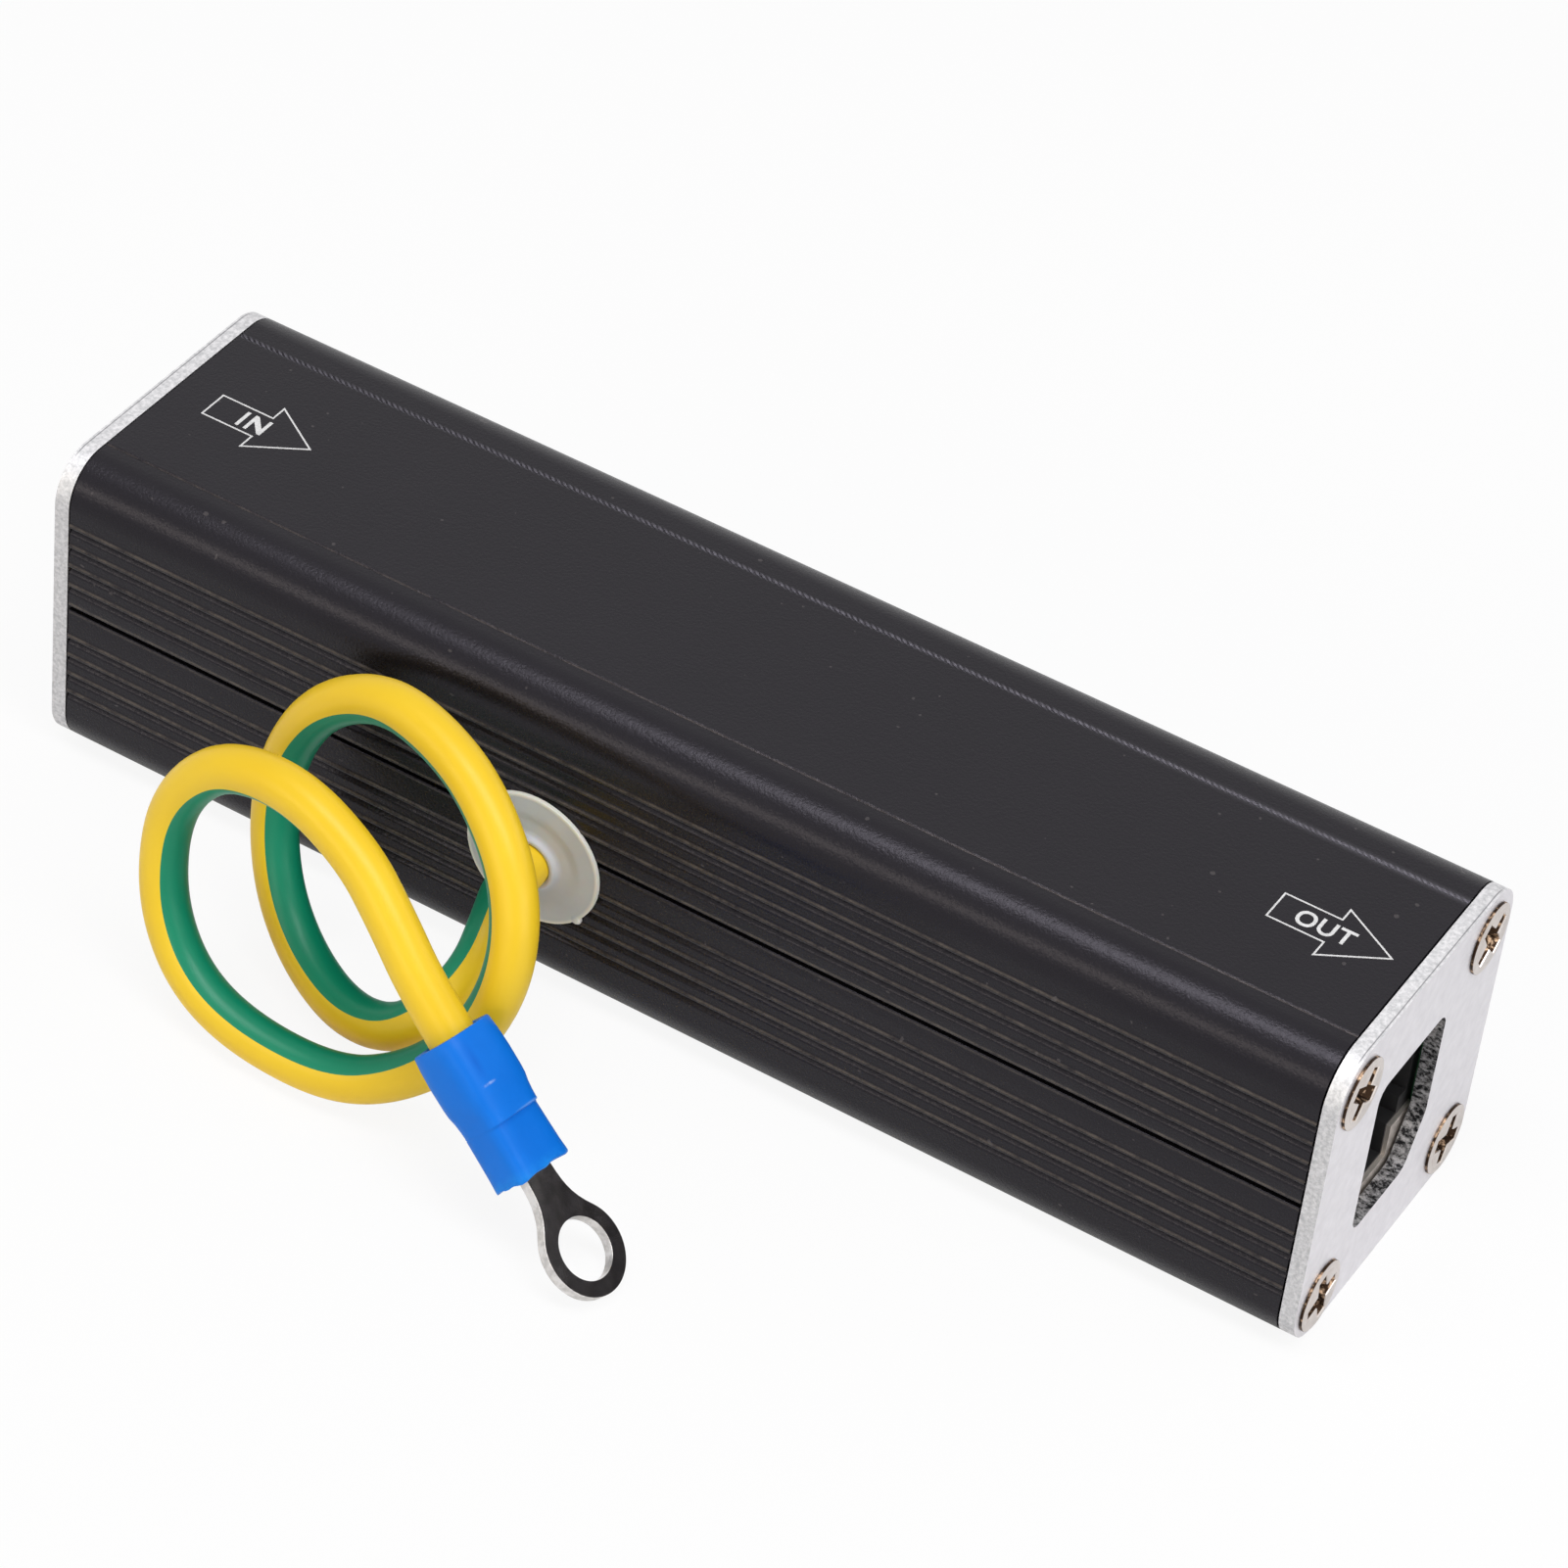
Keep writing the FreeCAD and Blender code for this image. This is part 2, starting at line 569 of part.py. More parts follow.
def make_jack_shield():
    """Folded sheet round the socket, open towards the board, with four soldered tabs."""
    body = new_body("jack_out_shield")
    box = new_sketch(body, "shield_box", "YZ_Plane", FACE)
    half = "(jack_width / 2)"
    draw_box(box, f"{MIDDLE} - jack_top", f"{BOARD} - sheet", f"{JACK} - {half}", f"{JACK} + {half}")
    pad(body, box, "jack_depth", back=True)
    hollow = new_sketch(body, "shield_hollow", "YZ_Plane", HOUSING_FACE)
    inner = "(jack_width / 2 - sheet)"
    draw_box(hollow, f"{MIDDLE} - jack_top + sheet", f"{BOARD} + 1", f"{JACK} - {inner}", f"{JACK} + {inner}")
    pocket(body, hollow, HOUSING_DEPTH)

    window = new_sketch(body, "shield_window", "YZ_Plane", FACE)
    wide, narrow = "(cavity_width / 2 + window_play)", "(latch_wide / 2 + window_play)"
    near, step = f"{MIDDLE} - cavity_front - window_play", f"{MIDDLE} + cavity_rear + window_play"
    past = f"{BOARD} + 1"
    draw_polygon(window, [(near, f"{JACK} - {wide}"), (step, f"{JACK} - {wide}"),
                          (step, f"{JACK} - {narrow}"), (past, f"{JACK} - {narrow}"),
                          (past, f"{JACK} + {narrow}"), (step, f"{JACK} + {narrow}"),
                          (step, f"{JACK} + {wide}"), (near, f"{JACK} + {wide}")])
    pocket(body, window, "sheet + fit_gap")

    for side, low in (("low", f"{JACK} - {half}"), ("high", f"{JACK} + {half} - sheet")):
        for place in ("tab_first", "tab_second"):
            tab = new_sketch(body, f"shield_{side}_{place}", "XY_Plane", low)
            draw_box(tab, f"{FACE} - {place} - tab_width / 2", f"{FACE} - {place} + tab_width / 2",
                     f"{BOARD} - 2 * sheet", f"{BOARD} + board_thick + tab_reach")
            pad(body, tab, "sheet")
    return node(body, "jack_out_shield")


def make_contacts():
    """Eight bent wires: foot on the board, lane along the slot, spring back into the cavity."""
    thick = sizes.contact_thick
    face = sizes.shell_length / 2 - sizes.jack_setback - sizes.sheet
    back = plug_middle - sizes.cavity_front - sizes.contact_lane - thick
    row = face - sizes.tail_place
    nose, tip = face - sizes.contact_nose, face - sizes.contact_tip
    drop = plug_middle - sizes.cavity_front + sizes.contact_drop
    slope = thick * math.hypot(nose - tip, drop - back) / (nose - tip)
    wires = []
    for index in range(8):
        height = jack_height + (index - 3.5) * sizes.contact_pitch - sizes.contact_width / 2
        outline = [(row - sizes.tail_foot, board_face), (row - sizes.tail_foot, board_face - thick),
                   (row - thick / 2, board_face - thick), (row - thick / 2, back), (nose, back),
                   (nose + thick / 2, back + thick / 2), (tip, drop), (tip, drop - slope),
                   (nose - 2 * thick, back + thick), (row + thick / 2, back + thick),
                   (row + thick / 2, board_face)]
        points = [Vector(x, y, height) for x, y in outline]
        face_shape = Part.Face(Part.makePolygon(points + points[:1]))
        wires.append(face_shape.extrude(Vector(0, 0, sizes.contact_width)))
    return shaped("jack_out_contacts", Part.makeCompound(wires))


housing = make_jack_housing()
shield = make_jack_shield()
contacts = make_contacts()
turned_copy(housing, "jack_in_housing")
turned_copy(shield, "jack_in_shield")
turned_copy(contacts, "jack_in_contacts")


# Circuit board

def make_board():
    body = new_body("circuit_board")
    blank = new_sketch(body, "board_blank", "XZ_Plane", f"-{BOARD}")
    reach = "(shell_length / 2 - board_end_gap)"
    draw_box(blank, f"-{reach}", reach, "wall + board_edge_gap", "shell_height - wall - board_edge_gap")
    pad(body, blank, "board_thick", back=True)

    slots = new_sketch(body, "board_slots", "XZ_Plane", f"-{BOARD} + 1")
    half_long, half_high = "(tab_width / 2 + tab_slot_play)", "(sheet / 2 + tab_slot_play)"
    for end in ("-", ""):
        for place in ("tab_first", "tab_second"):
            along = f"{end}({FACE} - {place})"
            for side in ("-", "+"):
                up = f"{JACK} {side} (jack_width / 2 - sheet / 2)"
                draw_box(slots, f"{along} - {half_long}", f"{along} + {half_long}",
                         f"{up} - {half_high}", f"{up} + {half_high}")
    pocket(body, slots, "board_thick + 2")
    return node(body, "circuit_board")


make_board()


# Parts on the board

ALONG = Vector(1, 0, 0)
AWAY = Vector(0, 1, 0)
half_board = sizes.shell_height / 2 - sizes.wall - sizes.board_edge_gap


def gas_tube(middle, height):
    """Surface-mount gas discharge tube: three square electrodes with ceramic between them."""
    square, ceramic, thick = sizes.tube_square, sizes.tube_ceramic, sizes.tube_electrode
    axis = board_face - square / 2
    start = middle - sizes.tube_length / 2
    core_corner = Vector(start, axis - ceramic / 2, height - ceramic / 2)
    shape = Part.makeBox(sizes.tube_length, ceramic, ceramic, core_corner)
    for step in (-1, 0, 1):
        place = middle + step * (sizes.tube_length - thick) / 2 - thick / 2
        corner = Vector(place, axis - square / 2, height - square / 2)
        shape = shape.fuse(Part.makeBox(thick, square, square, corner))
    return shape.removeSplitter()


first_tubes = -bay_end + sizes.tube_clear + sizes.tube_length / 2
other_tubes = sizes.wire_exit + sizes.tube_past
number = 0
for middle in (first_tubes, other_tubes):
    for height in (jack_height - half_board / 2, jack_height + half_board / 2):
        number += 1
        shaped(f"gas_tube_{number}", gas_tube(middle, height))

chips_middle = bay_end - sizes.chip_clear - (sizes.chip_column + sizes.chip_length) / 2
chips_start = chips_middle - (sizes.chip_column + sizes.chip_length) / 2
arrays_middle = (other_tubes + sizes.tube_length / 2 + chips_start) / 2


def diode_array(height):
    """Eight-legged moulded package with gull-wing legs on its two long sides."""
    length, width, tall, leg = sizes.array_length, sizes.array_width, sizes.array_height, sizes.array_leg
    thick, reach = sizes.array_leg_thick, sizes.array_leg_reach
    corner = Vector(arrays_middle - length / 2, board_face - tall - sizes.array_lift, height - width / 2)
    shape = Part.makeBox(length, tall, width, corner)
    bend = board_face - tall / 2
    for index in range(4):
        place = arrays_middle + (index - 1.5) * sizes.array_pitch - leg / 2
        for side in (-1, 1):
            near = height + side * width / 2
            far = near + side * reach
            shoulder = Part.makeBox(leg, thick, reach, Vector(place, bend, min(near, far)))
            drop = Part.makeBox(leg, tall / 2, thick, Vector(place, bend, far - thick / 2))
            shape = shape.fuse([shoulder, drop])
    return shape.removeSplitter()


shaped("diode_array_1", diode_array(jack_height - sizes.array_spread))
shaped("diode_array_2", diode_array(jack_height + sizes.array_spread))


def chip_resistors():
    """Eight chips in two columns, each with raised end caps."""
    chips = []
    for column in (-0.5, 0.5):
        for step in range(4):
            middle = chips_middle + column * sizes.chip_column
            height = jack_height + (step - 1.5) * sizes.chip_pitch
            tall, length, width = sizes.chip_height, sizes.chip_length, sizes.chip_width
            rise = sizes.chip_cap_rise
            low = Vector(middle - length / 2, board_face - tall + rise, height - width / 2)
            chip = Part.makeBox(length, tall - 2 * rise, width, low)
            for place in (middle - length / 2, middle + length / 2 - sizes.chip_cap):
                corner = Vector(place, board_face - tall, height - width / 2 - rise)
                chip = chip.fuse(Part.makeBox(sizes.chip_cap, tall, width + 2 * rise, corner))
            chips.append(chip.removeSplitter())
    return Part.makeCompound(chips)


shaped("series_resistors", chip_resistors())


# Grommet

def make_grommet():
    """Soft disc turned about the wire: flange, collar, neck in the wall, lip behind it."""
    body = new_body("cable_grommet")
    profile = new_sketch(body, "grommet_profile", "YZ_Plane", "wire_exit")
    bore = "(wire_diameter / 2)"
    out = f"-{HALF}"
    back = f"-({INSIDE})"
    lip = f"{out} - grommet_rim"
    collar_top = f"{lip} - grommet_stand"
    inner = f"{back} + grommet_lip_thick"
    lines = [(out, "grommet_flange / 2"), (lip, "grommet_flange / 2"), (lip, "grommet_collar / 2"),
             (collar_top, "grommet_collar / 2"), (collar_top, bore), (inner, bore),
             (inner, "grommet_lip / 2"), (back, "grommet_lip / 2"), (back, "grommet_neck / 2"),
             (out, "grommet_neck / 2")]
    draw_polygon(profile, [(across, f"wire_height + {up}") for across, up in lines])
    axis = profile.addGeometry(Part.LineSegment(Vector(-20, 5, 0), Vector(20, 5, 0)), True)
    place_point(profile, axis, 1, "-20", "wire_height")
    place_point(profile, axis, 2, "20", "wire_height")
    turned = body.newObject("PartDesign::Revolution", "grommet_turned")
    turned.Profile = profile
    turned.ReferenceAxis = (profile, ["Axis0"])
    turned.Angle = 360
    return node(body, "cable_grommet")


make_grommet()


# Earth wire

def wire_path(points):
    """Straight runs joined by tangent arcs, each arc as large as its two runs allow."""
    corners = [Vector(*point) for point in points]
    edges = []
    here = corners[0]
    for before, corner, after in zip(corners, corners[1:], corners[2:]):
        arriving, leaving = corner - before, after - corner
        half_turn = arriving.getAngle(leaving) / 2
        setback = 0.45 * min(arriving.Length, leaving.Length)
        radius = setback / math.tan(half_turn)
        arriving.normalize()
        leaving.normalize()
        start, end = corner - arriving * setback, corner + leaving * setback
        inward = leaving - arriving
        inward.normalize()
        middle = corner + inward * (radius / math.cos(half_turn) - radius)
        edges.append(Part.LineSegment(here, start).toShape())
        edges.append(Part.Arc(start, middle, end).toShape())
        print(f"wire bend at {tuple(corner)}: turn {math.degrees(2 * half_turn):.0f}, radius {radius:.1f}")
        here = end
    edges.append(Part.LineSegment(here, corners[-1]).toShape())
    return Part.Wire(edges)


WIRE_SIDES = 6


def wire_section(centre, way):
    """Regular polygon across the wire, its corners on the insulation's round surface."""
    turn = Rotation(Vector(0, 0, 1), way)
    corners = []
    for step in range(WIRE_SIDES):
        angle = 2 * math.pi * (step + 0.5) / WIRE_SIDES
        corner = Vector(math.cos(angle), math.sin(angle), 0) * (sizes.wire_diameter / 2)
        corners.append(centre + turn.multVec(corner))
    return Part.makePolygon(corners + corners[:1])


path = wire_path(ROUTE)
section = wire_section(Vector(*ROUTE[0]), Vector(*ROUTE[1]) - Vector(*ROUTE[0]))
wire = path.makePipeShell([section], True, False)
expected = Part.Face(section).Area * path.Length
print(f"earth wire: length {path.Length:.1f}, volume {wire.Volume:.1f}, section x length {expected:.1f}")
if abs(wire.Volume - expected) > 0.01 * expected:
    raise RuntimeError("the wire's solid doesn't match its length")
shaped("earth_wire", wire)

solder_end = Vector(*ROUTE[0])
core_near = Part.makeCylinder(sizes.core_diameter / 2, board_face - solder_end.y, solder_end, AWAY)
shaped("core_board_end", core_near)


# Ring terminal, built along its own axis and laid on the end of the wire

bend, wire_end = Vector(*ROUTE[-2]), Vector(*ROUTE[-1])
axis = (wire_end - bend).normalize()
flat_normal = Vector(0.61, 0.04, 0.79)
flat_normal = (flat_normal - axis * flat_normal.dot(axis)).normalize()
across = flat_normal.cross(axis)
mouth = bend + axis * sizes.sleeve_start
lie = FreeCAD.Matrix(axis.x, across.x, flat_normal.x, mouth.x, axis.y, across.y, flat_normal.y, mouth.y,
                     axis.z, across.z, flat_normal.z, mouth.z, 0, 0, 0, 1)
laid = Placement(lie)
seat = (wire_end - mouth).Length


def laid_down(label, shape):
    thing = shaped(label, shape)
    thing.Placement = laid
    return thing


def make_sleeve():
    """Blue insulating sleeve: a round tube pressed flatter and pinched behind its mouth."""
    length, mouth, crimp = sizes.sleeve_length, sizes.sleeve_mouth, sizes.sleeve_crimp
    wide = sizes.sleeve_width
    shape = Part.makeCylinder(wide / 2, length, Vector(0, 0, 0), ALONG)
    for side in (-1, 1):
        pressed = [(-1, sizes.sleeve_height), (mouth, sizes.sleeve_height), (mouth + crimp, sizes.sleeve_flat),
                   (length + 1, sizes.sleeve_flat), (length + 1, wide + 1), (-1, wide + 1)]
        pinched = [(mouth, wide + 1), (mouth, sizes.sleeve_waist), (mouth + crimp, sizes.sleeve_waist),
                   (mouth + crimp, wide + 1)]
        top = [Vector(place, -wide, side * height / 2) for place, height in pressed]
        flank = [Vector(place, side * width / 2, -wide) for place, width in pinched]
        shape = shape.cut(Part.Face(Part.makePolygon(top + top[:1])).extrude(Vector(0, 2 * wide, 0)))
        shape = shape.cut(Part.Face(Part.makePolygon(flank + flank[:1])).extrude(Vector(0, 0, 2 * wide)))
    mouth_bore = Part.makeCylinder(sizes.wire_diameter / 2, seat + 1, Vector(-1, 0, 0), ALONG)
    barrel = sizes.barrel_bore / 2 + sizes.barrel_wall
    through = Part.makeCylinder(barrel, length + 2, Vector(0, 0, 0), ALONG)
    return shape.cut([mouth_bore, through])


def make_ring():
    """Crimped barrel flattened into a tongue and a ring, one stamped piece."""
    length, thick = sizes.sleeve_length, sizes.ring_thick
    barrel_outer = sizes.barrel_bore / 2 + sizes.barrel_wall
    barrel = Part.makeCylinder(barrel_outer, length - seat, Vector(seat, 0, 0), ALONG)
    bore = Part.makeCylinder(sizes.barrel_bore / 2, length - seat - sizes.barrel_end, Vector(seat, 0, 0), ALONG)
    centre = length + sizes.ring_reach
    radius = sizes.ring_outer / 2
    neck = sizes.neck_width / 2
    flare = radius * 0.75
    meet = centre - math.sqrt(radius ** 2 - flare ** 2)
    waist = length + sizes.ring_reach * 0.3
    side = [Vector(length - sizes.barrel_end, neck, 0), Vector(waist, neck, 0), Vector(meet, flare, 0)]
    other = [Vector(point.x, -point.y, 0) for point in reversed(side)]
    tongue = Part.Face(Part.makePolygon(side + other + side[:1])).extrude(Vector(0, 0, thick))
    ring = Part.makeCylinder(radius, thick, Vector(centre, 0, 0))
    blade = tongue.fuse(ring)
    blade.translate(Vector(0, 0, -thick / 2))
    hole = Part.makeCylinder(sizes.ring_hole / 2, thick * 2, Vector(centre, 0, -thick))
    return barrel.cut(bore).fuse(blade).cut(hole).removeSplitter()


sleeve = laid_down("terminal_sleeve", make_sleeve())
ring = laid_down("ring_terminal", make_ring())
core_reach = sizes.sleeve_length - seat - sizes.barrel_end
core_far = Part.makeCylinder(sizes.core_diameter / 2, core_reach, Vector(seat, 0, 0), ALONG)
laid_down("core_terminal_end", core_far)
centre = laid.multVec(Vector(sizes.sleeve_length + sizes.ring_reach, 0, 0))
print("ring hole centre", [round(value, 3) for value in centre])
print("ring hole axis", [round(value, 4) for value in flat_normal])


# Check every object, then write one file for each sub-part

doc.recompute()
failed = [item.Name for item in doc.Objects if "Invalid" in item.State or "Error" in item.State]
if failed:
    raise RuntimeError("failed objects: " + ", ".join(failed))
for item in nodes:
    if item.Shape.isNull() or not item.Shape.isValid():
        raise RuntimeError("bad shape: " + item.Label)
os.makedirs("parts", exist_ok=True)
for item in nodes:
    item.Shape.exportStep(f"parts/{item.Label}.step")
    box = item.Shape.BoundBox
    print(f"{item.Label}: {len(item.Shape.Solids)} solid(s), {item.Shape.Volume:.1f} mm3,",
          f"x {box.XMin:.2f} {box.XMax:.2f}, y {box.YMin:.2f} {box.YMax:.2f}, z {box.ZMin:.2f} {box.ZMax:.2f}")
print(len(nodes), "nodes")
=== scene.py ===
import bmesh
import bpy
import math
from mathutils import Matrix, Vector
from mathutils.geometry import tessellate_polygon


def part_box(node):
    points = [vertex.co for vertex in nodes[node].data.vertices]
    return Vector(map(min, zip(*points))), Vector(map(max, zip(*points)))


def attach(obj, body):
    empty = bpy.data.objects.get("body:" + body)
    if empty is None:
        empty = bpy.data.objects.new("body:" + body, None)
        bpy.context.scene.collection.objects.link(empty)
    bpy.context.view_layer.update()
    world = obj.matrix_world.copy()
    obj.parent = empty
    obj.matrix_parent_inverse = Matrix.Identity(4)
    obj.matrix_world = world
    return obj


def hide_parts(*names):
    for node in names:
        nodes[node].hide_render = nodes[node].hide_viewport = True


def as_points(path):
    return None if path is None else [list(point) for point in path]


# Ethernet surge protector: black two-shell housing, pale end plates, yellow and green earth wire.
# Lengths are in millimetres unless a note says otherwise, and every mesh is scaled to metres once.

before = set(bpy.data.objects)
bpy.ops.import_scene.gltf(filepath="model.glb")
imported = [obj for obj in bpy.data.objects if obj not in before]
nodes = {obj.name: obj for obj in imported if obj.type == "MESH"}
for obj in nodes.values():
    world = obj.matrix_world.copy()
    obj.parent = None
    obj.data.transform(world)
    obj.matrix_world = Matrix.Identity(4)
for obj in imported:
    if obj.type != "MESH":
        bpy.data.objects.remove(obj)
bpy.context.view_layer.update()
scene = bpy.context.scene
mm = 0.001


def boxOf(name):
    low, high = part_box(name)
    return low / mm, high / mm


print("frame:", len(nodes), "nodes")

# Camera, at the photograph's angle: its place in metres, its turns in degrees

view = dict(place=(0.14654, -0.28272, 0.29052), azimuth=27.074, elevation=40.875, roll=6.920, lens=139.16,
            sensor=36, nearest=0.01)


def makeCamera():
    camera = bpy.data.objects.new("camera", bpy.data.cameras.new("camera"))
    scene.collection.objects.link(camera)
    turn = Matrix.Rotation(math.radians(view["azimuth"]), 4, "Z")
    turn = turn @ Matrix.Rotation(math.radians(90 - view["elevation"]), 4, "X")
    turn = turn @ Matrix.Rotation(math.radians(view["roll"]), 4, "Z")
    camera.matrix_world = Matrix.Translation(view["place"]) @ turn
    camera.data.lens = view["lens"]
    camera.data.sensor_width = view["sensor"]
    camera.data.clip_start = view["nearest"]
    scene.camera = camera


makeCamera()
print("camera set")


# Mesh making

class Form:  # gathers the points and faces of one piece
    def __init__(self):
        self.points = []
        self.faces = []
        self.marks = []

    def ring(self, points):
        first = len(self.points)
        self.points += [Vector(point) for point in points]
        return list(range(first, len(self.points)))

    def face(self, corners, mark=0):
        self.faces.append(tuple(corners))
        self.marks.append(mark)

    def band(self, one, two, marks=None):
        count = len(one)
        for step in range(count):
            after = (step + 1) % count
            self.face((one[step], one[after], two[after], two[step]), marks[step] if marks else 0)

    def cap(self, rings):  # the first ring is the outline, and the others are holes in it
        every = [index for ring in rings for index in ring]
        for corners in tessellate_polygon([[self.points[index] for index in ring] for ring in rings]):
            self.face([every[corner] for corner in corners])

    def tube(self, rings, marks=None, shut=True):  # a skin over rings that follow each other
        for one, two in zip(rings, rings[1:]):
            self.band(one, two, marks)
        if shut:
            self.cap([rings[0]])
            self.cap([rings[-1]])

    def prism(self, loops, place, low, high):
        ends = [[self.ring([place(a, b, level) for a, b in loop]) for loop in loops] for level in (low, high)]
        for one, two in zip(*ends):
            self.band(one, two)
        for rings in ends:
            self.cap(rings)

    def piece(self, name, sharp=35):
        mesh = bpy.data.meshes.new(name)
        mesh.from_pydata([point * mm for point in self.points], [], self.faces)
        for polygon, mark in zip(mesh.polygons, self.marks):
            polygon.material_index = mark
        work = bmesh.new()
        work.from_mesh(mesh)
        bmesh.ops.remove_doubles(work, verts=work.verts, dist=1e-7)
        bmesh.ops.recalc_face_normals(work, faces=work.faces)
        work.to_mesh(mesh)
        work.free()
        smooth(mesh, sharp)
        thing = bpy.data.objects.new(name, mesh)
        scene.collection.objects.link(thing)
        return thing


def smooth(mesh, sharp):
    mesh.shade_smooth()
    mesh.set_sharp_from_angle(angle=math.radians(sharp))


def arc(across, up, radius, start, end, steps):
    turns = [math.radians(start + (end - start) * step / steps) for step in range(steps + 1)]
    return [(across + radius * math.cos(turn), up + radius * math.sin(turn)) for turn in turns]


def circle(across, up, radius, steps=48):
    return arc(across, up, radius, 0, 360, steps)[:-1]


def squircle(wide, tall, power, steps=40):  # an oval whose corners fill out as the power grows
    points = []
    for step in range(steps):
        turn = 2 * math.pi * step / steps
        cosine, sine = math.cos(turn), math.sin(turn)
        size = (abs(cosine) ** power + abs(sine) ** power) ** (-1 / power)
        points.append((cosine * size * wide / 2, sine * size * tall / 2))
    return points


def lathe(form, profile, place, steps=64, shut=False):  # profile rows: how far along, and the radius there
    rings = [form.ring([place(along, b, c) for b, c in circle(0, 0, radius, steps)])
             for along, radius in profile]
    form.tube(rings, shut=shut)
    if not shut:
        form.band(rings[-1], rings[0])  # the profile closes on itself, as a bored piece's does


def bevel(thing, width, segments, angle):
    made = thing.modifiers.new("bevel", "BEVEL")
    made.width = width * mm
    made.segments = segments
    made.limit_method = "ANGLE"
    made.angle_limit = math.radians(angle)
    made.harden_normals = True
    return thing


def cutWith(thing, cutter, sharp):
    made = thing.modifiers.new("cut", "BOOLEAN")
    made.object = cutter
    made.operation = "DIFFERENCE"
    made.solver = "EXACT"
    bpy.context.view_layer.update()
    seen = thing.evaluated_get(bpy.context.evaluated_depsgraph_get())
    mesh = bpy.data.meshes.new_from_object(seen)
    thing.modifiers.remove(made)
    thing.data = mesh
    smooth(mesh, sharp)
    bpy.data.objects.remove(cutter)


def finishPiece(thing, slot, materials, *replaced):
    for material in materials:
        thing.data.materials.append(material)
    if replaced:
        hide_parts(*replaced)
    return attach(thing, "root")


# Shaders

class Link:  # a socket that plain arithmetic works on
    def __init__(self, graph, socket):
        self.graph = graph
        self.socket = socket

    def __add__(self, other):
        return self.graph.math("ADD", self, other)

    def __sub__(self, other):
        return self.graph.math("SUBTRACT", self, other)

    def __rsub__(self, other):
        return self.graph.math("SUBTRACT", other, self)

    def __mul__(self, other):
        return self.graph.math("MULTIPLY", self, other)

    def __pow__(self, other):
        return self.graph.math("POWER", self, other)

    __radd__ = __add__
    __rmul__ = __mul__


class Graph:  # the nodes of one material or of the world
    def __init__(self, tree):
        self.tree = tree

    def node(self, kind, settings, sockets, out=0):
        made = self.tree.nodes.new(kind)
        for name, value in settings.items():
            setattr(made, name, value)
        for name, value in sockets.items():
            self.feed(made.inputs[name], value)
        return Link(self, made.outputs[out])

    def feed(self, socket, value):
        if isinstance(value, Link):
            self.tree.links.new(value.socket, socket)
        else:
            socket.default_value = value

    def math(self, operation, one, two=0):
        return self.node("ShaderNodeMath", {"operation": operation}, {0: one, 1: two})

    def vector(self, operation, one, two, out=0):
        return self.node("ShaderNodeVectorMath", {"operation": operation}, {0: one, 1: two}, out)

    def part(self, vector, name):  # one number of a vector
        return self.node("ShaderNodeSeparateXYZ", {}, {0: vector}, name)

    def mix(self, share, one, two):
        return self.node("ShaderNodeMix", {"data_type": "RGBA"}, {0: share, 6: one, 7: two}, 2)

    def ramp(self, value, low, high, start=0.0, end=1.0):
        return self.node("ShaderNodeMapRange", {}, {"Value": value, "From Min": low, "From Max": high,
                                                    "To Min": start, "To Max": end})

    def rays(self):  # the rays that see the background: straight, mirrored and through clear pieces
        kinds = ("Is Camera Ray", "Is Glossy Ray", "Is Transmission Ray")
        return [self.node("ShaderNodeLightPath", {}, {}, kind) for kind in kinds]


class Look(Graph):  # one material with its shader
    def __init__(self, name, **fixed):
        self.material = bpy.data.materials.new(name)
        self.material.use_nodes = True
        super().__init__(self.material.node_tree)
        self.shader = self.tree.nodes["Principled BSDF"]
        for socket, value in fixed.items():
            self.shader.inputs[socket.replace("_", " ")].default_value = value
        self.place = self.node("ShaderNodeTexCoord", {}, {}, "Object")

    def noise(self, scale, detail, rough, stretch=(1, 1, 1)):  # scale in cycles for each millimetre
        place = self.vector("MULTIPLY", self.place, stretch)
        return self.node("ShaderNodeTexNoise", {}, {"Vector": place, "Scale": scale / mm, "Detail": detail,
                                                    "Roughness": rough})

    def axis(self, name):  # one coordinate, in millimetres
        return self.part(self.place, name) * (1 / mm)

    def along(self, origin, way):  # how far a point lies from the origin along a way, in millimetres
        away = self.vector("SUBTRACT", self.place, tuple(origin * mm))
        return self.vector("DOT_PRODUCT", away, tuple(way), "Value") * (1 / mm)

    def colour(self, value):
        self.feed(self.shader.inputs["Base Color"], value)

    def rough(self, value):
        self.feed(self.shader.inputs["Roughness"], value)

    def bump(self, height, depth, strength):  # depth in millimetres
        normal = self.node("ShaderNodeBump", {}, {"Height": height, "Distance": depth * mm,
                                                  "Strength": strength}, "Normal")
        self.feed(self.shader.inputs["Normal"], normal)


def near(value, centre, width):  # 1 at the centre, 0 beyond the width
    return value.graph.ramp(value.graph.math("ABSOLUTE", value - centre), width, 0)


